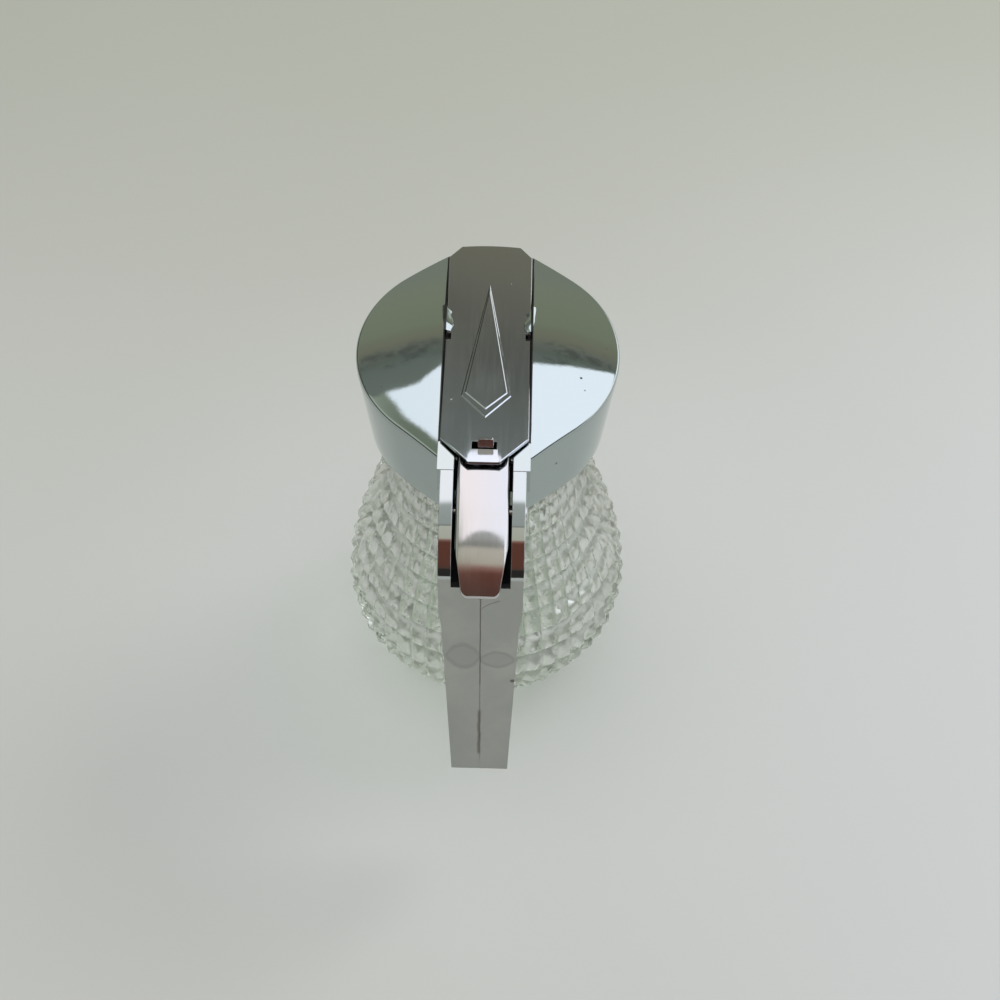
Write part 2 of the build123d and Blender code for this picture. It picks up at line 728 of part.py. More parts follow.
def coil_place(turn):
    """The wire's centre after so many turns, and the way that the wire runs there."""
    angle = 2 * pi * turn
    place = Vector(
        spring_mean_r * cos(angle), spring_y + spring_mean_r * sin(angle), spring_low_z + climb * angle
    )
    return place, Vector(-spring_mean_r * sin(angle), spring_mean_r * cos(angle), climb).normalized()


with BuildPart() as return_spring:
    with BuildLine() as coil:
        for half_turn in range(2 * spring_turns):
            start, leave = coil_place(half_turn / 2)
            end, arrive = coil_place((half_turn + 1) / 2)
            chord = end - start
            along = chord.dot(leave + arrive)
            bend = 2 * (1 - leave.dot(arrive))
            reach = ((along**2 + bend * chord.dot(chord)) ** 0.5 - along) / bend
            first, second = start + leave * reach, end - arrive * reach
            TangentArc(start, (first + second) / 2, tangent=leave)
            TangentArc((first + second) / 2, end, tangent=second - first)
    with BuildSketch(Plane(origin=coil.wire() @ 0, z_dir=coil.wire() % 0)):
        Circle(spring_wire_r)
    sweep()
return_spring.part.label = "return_spring"
export_step(return_spring.part, "parts/return_spring.step")

samples = [coil.wire() @ (step / 400) for step in range(401)]
apart = 400 // (2 * spring_turns)
least = min(
    (samples[one] - samples[other]).length for one in range(401) for other in range(one + apart, 401)
)
print(f"return_spring: least gap to itself {least - 2 * spring_wire_r:.2f} mm")
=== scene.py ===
"""Syrup dispenser, as it looks: a pressed glass jar under a plated lid with a sliding cut-off plate.

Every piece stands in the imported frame: the origin is the centre of the jar's foot, +Z is up, the
pouring mouth is towards +Y and the handle towards -Y. Meshes are drawn in millimetres and are
scaled to metres when they are finished.
"""

from math import acos, asin, atan2, cos, hypot, pi, radians, sin, sqrt, tan

import bmesh
import bpy
import numpy as np
from mathutils import Matrix, Vector


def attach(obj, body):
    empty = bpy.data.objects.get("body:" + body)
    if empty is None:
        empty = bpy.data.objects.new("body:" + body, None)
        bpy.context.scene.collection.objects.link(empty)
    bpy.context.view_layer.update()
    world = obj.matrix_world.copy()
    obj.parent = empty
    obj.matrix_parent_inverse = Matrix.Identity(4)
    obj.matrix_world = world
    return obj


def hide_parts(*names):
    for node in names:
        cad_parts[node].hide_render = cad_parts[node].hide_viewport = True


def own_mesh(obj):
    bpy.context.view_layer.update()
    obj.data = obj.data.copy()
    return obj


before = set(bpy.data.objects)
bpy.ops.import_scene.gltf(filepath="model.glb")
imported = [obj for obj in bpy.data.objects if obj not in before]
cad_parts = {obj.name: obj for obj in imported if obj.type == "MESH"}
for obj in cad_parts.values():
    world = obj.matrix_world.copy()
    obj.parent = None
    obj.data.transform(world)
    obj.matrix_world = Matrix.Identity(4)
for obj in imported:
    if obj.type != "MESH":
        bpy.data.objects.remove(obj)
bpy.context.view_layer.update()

# ================================================================== camera
# It stands behind the handle and looks down on the lid at about 52 degrees, as in the photograph.
camera = bpy.data.objects.new("camera", bpy.data.cameras.new("camera"))
camera.data.lens = 72.0
camera.data.sensor_width = 36.0
camera.matrix_world = (
    Matrix.Translation((0.0084, -0.36736, 0.5352))
    @ Matrix.Rotation(radians(0.706), 4, "Z")
    @ Matrix.Rotation(radians(37.95), 4, "X")
    @ Matrix.Rotation(radians(0.826), 4, "Z")
)
bpy.context.scene.collection.objects.link(camera)
bpy.context.scene.camera = camera
bpy.context.scene.view_settings.view_transform = "Standard"


# ================================================================== floor, lamps and studio
# A pale table under soft light from the right. The plating mirrors the room: a dark wall in front,
# a bright window overhead that runs out to the right, and darker things behind the camera.
class Value:
    """A socket of a node. Arithmetic on it adds Math nodes."""

    def __init__(self, graph, node, output=0):
        self.graph, self.node, self.socket = graph, node, node.outputs[output]

    def other(self, output):
        return Value(self.graph, self.node, output)

    def math(self, operation, *terms, clamp=False):
        settings = {"operation": operation, "use_clamp": clamp}
        return self.graph.node("ShaderNodeMath", settings, dict(enumerate([self, *terms])))

    def __add__(self, term):
        return self.math("ADD", term)

    def __sub__(self, term):
        return self.math("SUBTRACT", term)

    def __rsub__(self, term):
        return self.graph.node("ShaderNodeMath", {"operation": "SUBTRACT"}, {0: term, 1: self})

    def __mul__(self, term):
        return self.math("MULTIPLY", term)

    def __truediv__(self, term):
        return self.math("DIVIDE", term)

    def __pow__(self, term):
        return self.math("POWER", term)

    def __abs__(self):
        return self.math("ABSOLUTE")

    def least(self, term):
        return self.math("MINIMUM", term)

    def most(self, term):
        return self.math("MAXIMUM", term)

    def rise(self, low, high, start=0.0, end=1.0):
        """A smooth step from start to end as the value goes from low to high."""
        inputs = {"Value": self, "From Min": low, "From Max": high, "To Min": start, "To Max": end}
        return self.graph.node("ShaderNodeMapRange", {"interpolation_type": "SMOOTHSTEP"}, inputs)

    def ramp(self, low, high, stops):
        """A colour, or a number given as a grey, looked up along the value."""
        stops = [
            ((at - low) / (high - low), (*colour, 1.0) if isinstance(colour, tuple) else (colour,) * 3 + (1.0,))
            for at, colour in stops
        ]
        place = (self - low) / (high - low)
        return self.graph.node("ShaderNodeValToRGB", {"stops": stops}, {0: place})

    __radd__, __rmul__ = __add__, __mul__


class Graph:
    """The nodes of a material, of the world or of a Geometry Nodes tree."""

    def __init__(self, tree):
        self.tree = tree
        tree.nodes.clear()

    def node(self, kind, settings=None, inputs=None, output=0):
        made = self.tree.nodes.new(kind)
        for name, setting in (settings or {}).items():
            if name != "stops":
                setattr(made, name, setting)
                continue
            ramp = made.color_ramp
            while len(ramp.elements) < len(setting):
                ramp.elements.new(1.0)
            for element, (place, colour) in zip(ramp.elements, setting):
                element.position, element.color = place, colour
        for name, given in (inputs or {}).items():
            socket = made.inputs[name]
            if isinstance(given, Value):
                self.tree.links.new(given.socket, socket)
            else:
                socket.default_value = (*given, 1.0) if socket.type == "RGBA" else given
        return Value(self, made, output) if len(made.outputs) else made

    def place(self):
        """Where the point is on the piece, as three numbers in metres."""
        return self.split(self.node("ShaderNodeTexCoord", output="Object"))

    def split(self, vector):
        parts = self.node("ShaderNodeSeparateXYZ", inputs={0: vector})
        return parts, parts.other(1), parts.other(2)

    def join(self, x, y, z):
        return self.node("ShaderNodeCombineXYZ", inputs={0: x, 1: y, 2: z})

    def colour(self, factor, first, second):
        return self.node("ShaderNodeMix", {"data_type": "RGBA"}, {0: factor, 6: first, 7: second}, 2)

    def noise(self, scale, detail=2.0, vector=None, roughness=0.5):
        vector = vector or self.node("ShaderNodeTexCoord", output="Object")
        inputs = {"Vector": vector, "Scale": scale, "Detail": detail, "Roughness": roughness}
        return self.node("ShaderNodeTexNoise", inputs=inputs)

    def bump(self, height, distance, strength=1.0, under=None):
        inputs = {"Height": height, "Distance": distance, "Strength": strength}
        if under:
            inputs["Normal"] = under
        return self.node("ShaderNodeBump", inputs=inputs)

    def surface(self, shader):
        self.node("ShaderNodeOutputMaterial", inputs={"Surface": shader})


def new_material(name):
    material = bpy.data.materials.new(name)
    material.use_nodes = True
    return material, Graph(material.node_tree)


floor_half = 2.5
floor_mesh = bpy.data.meshes.new("table_top")
floor_corners = [(-1, -1), (1, -1), (1, 1), (-1, 1)]
floor_mesh.from_pydata([(x * floor_half, max(y * floor_half, -0.42), 0.0) for x, y in floor_corners], [], [(0, 1, 2, 3)])
floor = bpy.data.objects.new("table_top", floor_mesh)
bpy.context.scene.collection.objects.link(floor)

table_paint, graph = new_material("table_paint")
x, y, z = graph.place()
# painted light: the table's colour is a little darker and greyer to the far left, as the window light falls off
painted_light_falloff = (y * -1.0).rise(-0.36, 0.05)
shade = graph.colour(painted_light_falloff, (0.395, 0.405, 0.345), (0.525, 0.53, 0.505))
# painted light: lighter and bluer to the near right, where the lamp falls
shade = graph.colour(x.rise(-0.05, 0.25) * painted_light_falloff, shade, (0.565, 0.58, 0.585))
# painted light: a lighter pool round the jar, for the glow of light passing through the glass
shade = graph.colour(((x * x + y * y) ** 0.5).rise(0.04, 0.17, 0.50, 0.0), shade, (0.62, 0.64, 0.63))
shade = graph.colour(graph.noise(9.0, 3.0) * 0.12, shade, (0.5, 0.52, 0.49))
graph.surface(
    graph.node(
        "ShaderNodeBsdfPrincipled",
        inputs={"Base Color": shade, "Roughness": 0.75, "Specular IOR Level": 0.2},
    )
)
floor_mesh.materials.append(table_paint)


def lamp(name, place, aim, size, watts, colour):
    light = bpy.data.lights.new(name, "AREA")
    light.shape, light.size, light.energy, light.color = "DISK", size, watts, colour
    stand = bpy.data.objects.new(name, light)
    stand.matrix_world = (
        Matrix.Translation(place) @ (Vector(aim) - Vector(place)).to_track_quat("-Z", "Y").to_matrix().to_4x4()
    )
    stand.visible_glossy = False
    bpy.context.scene.collection.objects.link(stand)


lamp("window_light", (0.62, 0.36, 0.80), (0, 0, 0.05), 0.45, 2.6, (1.0, 0.99, 0.97))

studio = bpy.data.worlds.new("studio")
studio.use_nodes = True
bpy.context.scene.world = studio
graph = Graph(studio.node_tree)
x, y, z = graph.split(graph.node("ShaderNodeTexCoord", output="Generated"))
# places on a flat ceiling overhead, in heights of that ceiling
height = z.most(0.02)
across, ahead = x / height, y / height
wander = graph.noise(2.2, 2.0, graph.join(across, ahead, 0.0)) - 0.5
ahead_soft = ahead + wander * 0.10
window_front = across.ramp(
    -1.0, 1.0, [(-1.0, 0.5), (-0.465, 0.581), (-0.307, 0.615), (-0.19, 0.751), (-0.12, 0.70), (0.12, 0.70), (0.19, 0.75), (0.38, 0.789), (0.6, 0.842), (1.0, 0.9)]
)
window_left = ahead.ramp(-1.0, 1.0, [(-0.3, 0.17), (0.21, 0.183), (0.406, 0.358), (0.581, 0.465), (1.0, 0.6)])
front_room = ahead_soft.ramp(
    0.5,
    3.0,
    [
        (0.60, (0.125, 0.140, 0.125)),
        (0.76, (0.115, 0.130, 0.115)),
        (0.84, (0.095, 0.105, 0.092)),
        (0.90, (0.115, 0.120, 0.105)),
        (1.00, (0.145, 0.142, 0.108)),
        (1.20, (0.160, 0.172, 0.122)),
        (1.60, (0.170, 0.182, 0.135)),
        (3.00, (0.175, 0.185, 0.150)),
    ],
)
rear_room = ahead_soft.ramp(
    -3.0,
    0.0,
    [
        (-3.0, (0.05, 0.04, 0.035)),
        (-1.40, (0.075, 0.035, 0.026)),
        (-0.98, (0.095, 0.035, 0.024)),
        (-0.86, (0.22, 0.12, 0.10)),
        (-0.79, (0.36, 0.345, 0.29)),
        (-0.56, (0.40, 0.39, 0.335)),
        (-0.50, (0.17, 0.176, 0.160)),
        (-0.40, (0.27, 0.285, 0.275)),
        (-0.31, (0.29, 0.31, 0.295)),
    ],
)
blotches = graph.noise(7.0, 4.0, graph.join(across, ahead, 0.0), 0.65).rise(0.47, 0.60)
blotches = blotches * ahead.rise(0.74, 0.80) * ahead.rise(0.90, 1.02, 0.6, 0.0)
front_room = graph.colour(blotches, front_room, (0.045, 0.05, 0.045))
window_colour = graph.colour(across.rise(-0.12, 0.12), (0.86, 0.82, 0.84), (0.80, 0.83, 0.92))
window_colour = graph.colour((across * -1.0).rise(0.12, 0.25), window_colour, (0.76, 0.79, 0.87))
side_wall = graph.colour(across.rise(-0.7, -0.3), (0.30, 0.33, 0.28), (0.14, 0.16, 0.125))
in_window = (window_front - ahead_soft).rise(0.0, 0.03) * (across + window_left + wander * 0.05).rise(0.0, 0.035)
room = graph.colour((window_front - ahead_soft).rise(0.0, 0.03), front_room, side_wall)
room = graph.colour(in_window, room, window_colour)
room = graph.colour((across * across * -9.0 - ahead_soft).rise(0.28, 0.31), room, rear_room)
far_away = (x * x + y * y) ** 0.5 / height
# low down the wall is dark on the left and bright by the lamp on the right
low_wall = graph.colour(x.rise(0.35, 0.65) * y.rise(-0.25, 0.0), (0.165, 0.175, 0.145), (0.80, 0.84, 0.88))
low_wall = graph.colour((x * -1.0).rise(0.35, 0.65), low_wall, (0.045, 0.05, 0.045))
low_wall = graph.colour((y * -1.0).rise(0.2, 0.5), low_wall, (0.02, 0.018, 0.016))
room = graph.colour(far_away.rise(1.7, 2.6), room, low_wall)
room = graph.colour(z.rise(-0.02, 0.0), (0.02, 0.018, 0.016), room)
rays = graph.node("ShaderNodeLightPath")
shown = graph.colour(rays.other("Is Transmission Ray"), (0.93, 0.94, 0.94), (0.88, 0.90, 0.87))
shown = graph.colour(rays.other("Is Camera Ray"), shown, (0.50, 0.51, 0.47))
plain = graph.node("ShaderNodeBackground", inputs={"Color": shown})
# plating mirrors about two thirds of what it sees, so the mirrored room is brighter than the table
mirrored = graph.node("ShaderNodeBackground", inputs={"Color": room, "Strength": 1.6})
lit = graph.node("ShaderNodeMixShader", inputs={"Fac": rays.other("Is Glossy Ray"), 1: plain, 2: mirrored})
graph.node("ShaderNodeOutputWorld", inputs={"Surface": lit})

# ================================================================== glass jar
# Clear pressed glass, one piece: eleven rows of four-sided points, a smooth foot, and a ground neck
# with a raised thread for the lid. The mould's halves meet in front and behind.
jar_columns, jar_rows, jar_facets = 48, 11, 8
foot_z, shoulder_z, belly_z, mouth_z = 3.0, 98.0, 30.0, 118.0
foot_r, belly_r, shoulder_r, neck_r, neck_bore_r = 26.0, 42.5, 28.5, 27.5, 23.5
point_share, flank_fullness, foot_fullness = 0.5, 1.07, 1.5
point_softness = 0.10  # how far the press rounds the ridges and tips, as a share of a point
wall = 3.2
lathe_steps = jar_columns * jar_facets


def tree_inputs(tree, **sizes):
    """Adds named inputs with their values to a Geometry Nodes tree, and a Value for each."""
    for name, size in sizes.items():
        kind = "NodeSocketInt" if isinstance(size, int) else "NodeSocketFloat"
        tree.interface.new_socket(name, in_out="INPUT", socket_type=kind).default_value = size
    graph = Graph(tree)
    group = tree.nodes.new("NodeGroupInput")
    return graph, [Value(graph, group, name) for name in sizes]


def grown_mesh(name, tree, graph, mesh, material):
    """Ends the tree, grows its mesh on an empty object, and returns that mesh as plain faces."""
    real = graph.node("GeometryNodeRealizeInstances", inputs={0: mesh})
    painted = graph.node("GeometryNodeSetMaterial", inputs={"Geometry": real, "Material": material})
    graph.node("NodeGroupOutput", inputs={0: painted})
    grower = bpy.data.objects.new(name, bpy.data.meshes.new(name))
    bpy.context.scene.collection.objects.link(grower)
    modifier = grower.modifiers.new(name, "NODES")
    modifier.node_group = tree
    for item in tree.interface.items_tree:
        if item.item_type == "SOCKET" and item.in_out == "INPUT":
            modifier[item.identifier] = item.default_value
    depsgraph = bpy.context.evaluated_depsgraph_get()
    grown = bpy.data.meshes.new_from_object(grower.evaluated_get(depsgraph))
    bpy.data.objects.remove(grower)
    return grown


def new_tree(name):
    tree = bpy.data.node_groups.new(name, "GeometryNodeTree")
    tree.interface.new_socket("Mesh", in_out="OUTPUT", socket_type="NodeSocketGeometry")
    return tree


clear_glass, graph = new_material("clear_glass")
x, y, z = graph.place()
tint = graph.colour(z.rise(0.0, 0.035), (0.93, 0.975, 0.935), (0.99, 1.0, 0.985))
# painted shade: the glass's colour is darker down between the points, most of all between the rows
climb = ((z - belly_z / 1000) / ((shoulder_z - belly_z) / 1000)).most(0.0)
outer_r = (shoulder_r + (belly_r - shoulder_r) * ((climb**flank_fullness * pi).math("COSINE") + 1) * 0.5) / 1000
drop = ((belly_z / 1000 - z) / (belly_z / 1000)).most(0.0)
outer_r = outer_r.least(belly_r / 1000) - (belly_r - foot_r) / 1000 * drop**foot_fullness
on_points = ((x * x + y * y) ** 0.5 / outer_r).rise(0.915, 0.925) * z.rise(foot_z / 1000 + 0.0001, foot_z / 1000 + 0.0002)
round_jar = y.math("ARCTAN2", x) / (2 * pi) + 1.0
beside = abs((round_jar * jar_columns).math("FRACT") - 0.5) * -2 + 1
over = abs(((z - foot_z / 1000) / ((shoulder_z - foot_z) / 1000) * jar_rows).math("FRACT") - 0.5) * 2
painted_groove_shade = over.rise(0.78, 1.0).most(beside.rise(0.84, 1.0) * 0.4) * on_points * z.rise(shoulder_z / 1000 - 0.0002, shoulder_z / 1000, 1.0, 0.0)
tint = graph.colour(painted_groove_shade * 0.9, tint, (0.45, 0.53, 0.46))
ripples = graph.bump(graph.noise(140.0, 2.0), 0.00008, 0.5)
glass = graph.node(
    "ShaderNodeBsdfPrincipled",
    inputs={
        "Base Color": tint,
        "Roughness": graph.noise(60.0, 2.0).rise(0.3, 0.8, 0.0, 0.015),
        "IOR": 1.45,
        "Transmission Weight": 1.0,
        "Normal": ripples,
    },
)
# fine scratches and syrup film scatter some light, and light passes to the table through the glass
film = graph.node("ShaderNodeBsdfTranslucent", inputs={"Color": (0.66, 0.68, 0.62), "Normal": ripples})
hazy = graph.node("ShaderNodeMixShader", inputs={"Fac": graph.noise(90.0, 3.0).rise(0.3, 0.7, 0.13, 0.23), 1: glass, 2: film})
shadow_ray = graph.node("ShaderNodeLightPath").other("Is Shadow Ray")
clear = graph.node("ShaderNodeBsdfTransparent", inputs={"Color": (0.84, 0.87, 0.84)})
graph.surface(graph.node("ShaderNodeMixShader", inputs={"Fac": shadow_ray, 1: hazy, 2: clear}))

points_tree = new_tree("pressed_points")
graph, (columns, rows, facets, low, high, r_foot, r_belly, z_belly, r_shoulder, flank, under, share, soft) = tree_inputs(
    points_tree,
    Columns=jar_columns,
    Rows=jar_rows,
    Facets=jar_facets,
    Foot_height=foot_z,
    Shoulder_height=shoulder_z,
    Foot_radius=foot_r,
    Belly_radius=belly_r,
    Belly_height=belly_z,
    Shoulder_radius=shoulder_r,
    Flank_fullness=flank_fullness,
    Foot_fullness=foot_fullness,
    Point_share=point_share,
    Softness=point_softness,
)
sheet = graph.node(
    "GeometryNodeMeshGrid",
    inputs={"Size X": 1.0, "Size Y": 1.0, "Vertices X": columns * facets + 1, "Vertices Y": rows * facets + 1},
)
u, v, _ = graph.split(graph.node("GeometryNodeInputPosition"))
u, v = u + 0.5, v + 0.5
z = low + (high - low) * v
climb = ((z - z_belly) / (high - z_belly)).most(0.0)
flank_r = r_shoulder + (r_belly - r_shoulder) * ((climb**flank * pi).math("COSINE") + 1) * 0.5
drop = ((z_belly - z) / z_belly).most(0.0)
tip_r = flank_r.least(r_belly) - (r_belly - r_foot) * drop**under
# how far from the middle of its point a place is, 0 at the tip and 1 at the grooves
aside = abs((u * columns).math("FRACT") - 0.5) * -2 + 1
above = abs((v * rows).math("FRACT") - 0.5) * 2
height = 1 - (aside**1.2 * 0.84).math("SMOOTH_MAX", above**1.6, soft).least(1.0)
radius = tip_r * (1 - share * (2 * pi) / columns * (1 - height))
angle = u * (2 * pi)
skin_place = graph.join(radius * angle.math("COSINE"), radius * angle.math("SINE"), z)
skin = graph.node("GeometryNodeSetPosition", inputs={"Geometry": sheet, "Position": skin_place})
skin_mesh = grown_mesh("points", points_tree, graph, skin, clear_glass)


def turned(profile, steps, closed=False, shape=None):
    """Vertices and faces of a profile of (radius, height) turned round the jar's axis.

    shape(radius, height, angle) may change the radius on the way round.
    """
    angles = [2 * pi * step / steps for step in range(steps)]
    vertices, faces, rings = [], [], []
    for r, h in profile:
        if r < 1e-6:
            rings.append([len(vertices)] * steps)
            vertices.append((0.0, 0.0, h))
            continue
        rings.append(list(range(len(vertices), len(vertices) + steps)))
        for a in angles:
            radius = shape(r, h, a) if shape else r
            vertices.append((radius * cos(a), radius * sin(a), h))
    for lower, upper in zip(rings, rings[1:]):
        for step in range(steps):
            after = (step + 1) % steps
            corners = [lower[step], lower[after], upper[after], upper[step]]
            faces.append(tuple(dict.fromkeys(corners)))
    return vertices, faces


def arc(centre, radius, start_deg, end_deg, steps):
    turns = (radians(start_deg + (end_deg - start_deg) * step / steps) for step in range(steps + 1))
    return [(centre[0] + radius * cos(a), centre[1] + radius * sin(a)) for a in turns]


def circle_through(a, b, c):
    (ax, ay), (bx, by), (cx, cy) = a, b, c
    d = 2 * (ax * (by - cy) + bx * (cy - ay) + cx * (ay - by))
    squares = [p[0] ** 2 + p[1] ** 2 for p in (a, b, c)]
    ux = (squares[0] * (by - cy) + squares[1] * (cy - ay) + squares[2] * (ay - by)) / d
    uy = (squares[0] * (cx - bx) + squares[1] * (ax - cx) + squares[2] * (bx - ax)) / d
    return (ux, uy), hypot(ax - ux, ay - uy)


def outer_radius(z):
    """Radius over the points at height z."""
    if z < belly_z:
        return belly_r - (belly_r - foot_r) * ((belly_z - z) / belly_z) ** foot_fullness
    climb = (z - belly_z) / (shoulder_z - belly_z)
    return shoulder_r + (belly_r - shoulder_r) * (1 + cos(pi * climb**flank_fullness)) / 2


groove_share = 1 - point_share * 2 * pi / jar_columns
base_z, waist_z, corner_r = 7.0, 48.0, 6.0
# the inner wall: a curved base, the belly, then one arc that draws in to the neck's bore
inner = [(outer_radius(h) * groove_share - wall, h) for h in (base_z + corner_r, belly_z, waist_z)]
(cx, cy), belly_arc_r = circle_through(*inner)
start, end = (atan2(h - cy, r - cx) for r, h in (inner[0], inner[2]))
belly_line = [
    (cx + belly_arc_r * cos(start + (end - start) * k / 20), cy + belly_arc_r * sin(start + (end - start) * k / 20))
    for k in range(21)
]
# the neck's arc leaves the belly's on the same tangent, and so its centre lies on the same line
ux, uy = cos(end), sin(end)
px, py = inner[2]
qx, qy = neck_bore_r - px, shoulder_z - py
neck_arc_r = (qx**2 + qy**2) / (2 * (qx * ux + qy * uy))
ncx, ncy = px + neck_arc_r * ux, py + neck_arc_r * uy
first = atan2(py - ncy, px - ncx)
last = atan2(shoulder_z - ncy, neck_bore_r - ncx)
if last - first > pi:
    last -= 2 * pi
if first - last > pi:
    last += 2 * pi
neck_line = [
    (ncx + abs(neck_arc_r) * cos(first + (last - first) * k / 24), ncy + abs(neck_arc_r) * sin(first + (last - first) * k / 24))
    for k in range(1, 25)
]
base_line = [(0.0, base_z)] + [(r, base_z + 0.6 * (r / inner[0][0]) ** 3) for r in (6.0, 12.0, 18.0, inner[0][0] - corner_r)]
corner_line = [
    (inner[0][0] - corner_r + corner_r * sin(a), base_z + 0.6 + (corner_r - 0.6) * (1 - cos(a)))
    for a in (pi / 2 * k / 8 for k in range(1, 8))
]
thread_low, thread_high, thread_pitch, thread_depth = 107.5, 115.5, 3.2, 1.7


def threaded(r, h, a):
    """The neck's radius with the ridge of its thread, which fades in and out at its ends."""
    if not thread_low < h < thread_high or r < neck_r - 0.01:
        return r
    along = (h - thread_low) / thread_pitch - a / (2 * pi)
    ridge = max(0.0, cos(2 * pi * (along % 1.0 - 0.5))) ** 0.7
    fade = min(1.0, (h - thread_low) / 1.2, (thread_high - h) / 1.2)
    return r + thread_depth * ridge * fade


groove_foot_r, groove_shoulder_r = outer_radius(foot_z) * groove_share, outer_radius(shoulder_z) * groove_share
foot_line = [
    (groove_foot_r, foot_z),
    (groove_foot_r - 0.8, foot_z),
    (groove_foot_r - 0.8, 0.9),
    (groove_foot_r - 1.0, 0.3),
    (groove_foot_r - 1.6, 0.0),
    (groove_foot_r - 4.2, 0.0),
    (groove_foot_r - 5.2, 0.5),
    (12.0, 1.1),
    (0.0, 1.3),
]
neck_heights = [99.0, 103.0, 107.0] + [thread_low + 0.25 * k for k in range(1, 32)] + [116.2, 117.2]
mouth_line = [(neck_r - 0.24, mouth_z - 0.24), (neck_r - 0.8, mouth_z), (neck_bore_r + 0.8, mouth_z), (neck_bore_r + 0.24, mouth_z - 0.24)]
upper_line = (
    [(groove_shoulder_r, shoulder_z), (neck_r + 0.1, shoulder_z), (neck_r, shoulder_z + 0.1)]
    + [(neck_r, h) for h in neck_heights]
    + mouth_line
    + [(neck_bore_r, h) for h in (mouth_z - 0.8, 110.0, 104.0)]
    + (belly_line[1:] + neck_line)[::-1]
    + [belly_line[0]]
    + (base_line + corner_line)[::-1]
)


def mesh_of(name, *shells):
    """One mesh of several shells that meet edge to edge, merged and turned to face outwards."""
    body = bmesh.new()
    for vertices, faces in shells:
        made = [body.verts.new(v) for v in vertices]
        for face in faces:
            body.faces.new([made[k] for k in face])
    bmesh.ops.remove_doubles(body, verts=body.verts, dist=1e-3)
    bmesh.ops.recalc_face_normals(body, faces=body.faces)
    mesh = bpy.data.meshes.new(name)
    body.to_mesh(mesh)
    body.free()
    return mesh


def finish_piece(name, mesh, body, node, material, sharp_deg=30.0):
    """Scales a mesh drawn in millimetres, shades it, and puts it in the CAD node's place."""
    mesh.name = name
    mesh.transform(Matrix.Scale(0.001, 4))
    mesh.materials.clear()
    mesh.materials.append(material)
    for polygon in mesh.polygons:
        polygon.material_index = 0
    mesh.shade_smooth()
    mesh.set_sharp_from_angle(angle=radians(sharp_deg))
    piece = bpy.data.objects.new(name, mesh)
    bpy.context.scene.collection.objects.link(piece)
    # the larger faces set the normals, so that flat faces stay flat beside a small round
    piece.modifiers.new("weighted", "WEIGHTED_NORMAL").keep_sharp = True
    depsgraph = bpy.context.evaluated_depsgraph_get()
    weighted = bpy.data.meshes.new_from_object(piece.evaluated_get(depsgraph))
    piece.modifiers.clear()
    piece.data = weighted
    weighted.name = name
    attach(piece, body)
    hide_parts(node)
    return piece


skin_shell = [tuple(v.co) for v in skin_mesh.vertices], [tuple(p.vertices) for p in skin_mesh.polygons]
jar_mesh = mesh_of("jar", skin_shell, turned(foot_line, lathe_steps), turned(upper_line, lathe_steps, shape=threaded))
finish_piece("jar_glass", jar_mesh, "jar", "glass_jar", clear_glass, 12.0)

# ================================================================== sealing ring
# A flat ring of soft translucent rubber, pressed between the jar's ground mouth and the lid.
seal_rubber, graph = new_material("seal_rubber")
cloudy = graph.noise(220.0, 3.0)
graph.surface(
    graph.node(
        "ShaderNodeBsdfPrincipled",
        inputs={
            "Base Color": graph.colour(cloudy, (0.78, 0.78, 0.72), (0.88, 0.88, 0.84)),
            "Roughness": cloudy.rise(0.2, 0.8, 0.42, 0.6),
            "Subsurface Weight": 0.15,
            "Normal": graph.bump(cloudy, 0.00005, 0.4),
        },
    )
)
ring_inner_r, ring_outer_r, ring_low_z, ring_high_z, ring_round = 23.5, 29.3, 118.0, 119.8, 0.35
ring_corners = [
    ((ring_outer_r - ring_round, ring_low_z + ring_round), -90),
    ((ring_outer_r - ring_round, ring_high_z - ring_round), 0),
    ((ring_inner_r + ring_round, ring_high_z - ring_round), 90),
    ((ring_inner_r + ring_round, ring_low_z + ring_round), 180),
]
ring_profile = [p for centre, turn in ring_corners for p in arc(centre, ring_round, turn, turn + 90, 4)]
ring_mesh = mesh_of("ring", turned(ring_profile + ring_profile[:1], 192))
finish_piece("seal_ring", ring_mesh, "seal", "sealing_ring", seal_rubber)

# ================================================================== lid
# Die-cast and brightly plated, one piece: a shallow dome over a drawn-in skirt, with the channel
# that the plate runs in, two ears for the handle, and two lugs staked in over the plate.
rim_z, lid_r, skirt_h, skirt_inset = 128.0, 36.0, 25.0, 3.0
nose_x, nose_y, nose_bulge = 12.2, 37.0, 1.3
dome_top_z, dome_r, rim_round = 134.5, 145.0, 1.0
seat_z, channel_x = 131.45, 11.95
slot_wall_x, pocket_front_y, ear_end_y, ear_fall = 7.75, -31.8, -42.4, 0.62
thread_bore_r, ring_seat_z, chamber_z = 29.6, 119.8, 129.25


def lid_outline(inset):
    """Plan of the lid as points from the middle of its rear, with the same count at any inset."""
    radius, half_x, end_y = lid_r - inset, nose_x - inset * nose_x / lid_r, nose_y - inset
    leave = atan2(end_y, half_x) - acos(radius / hypot(half_x, end_y))
    side = [(radius * cos(leave * k / 60), radius * sin(leave * k / 60)) for k in range(-60, 61)]
    (sx, sy), nose = side[-1], (half_x, end_y)
    tangent = [(sx + (nose[0] - sx) * k / 12, sy + (nose[1] - sy) * k / 12) for k in range(1, 13)]
    sagitta = nose_bulge
    bulge_r = (half_x**2 + sagitta**2) / (2 * sagitta)
    spread = asin(half_x / bulge_r)
    front = [
        (bulge_r * sin(spread * (1 - k / 10)), end_y + sagitta - bulge_r * (1 - cos(spread * (1 - k / 10))))
        for k in range(1, 11)
    ]
    rear = [(half_x * k / 10, -end_y) for k in range(0, 10)]
    rear_tangent = [(px, -py) for px, py in tangent[::-1]]
    right = rear + rear_tangent + side + tangent + front
    left = [(-px, py) for px, py in right[1:-1]][::-1]
    return right + left


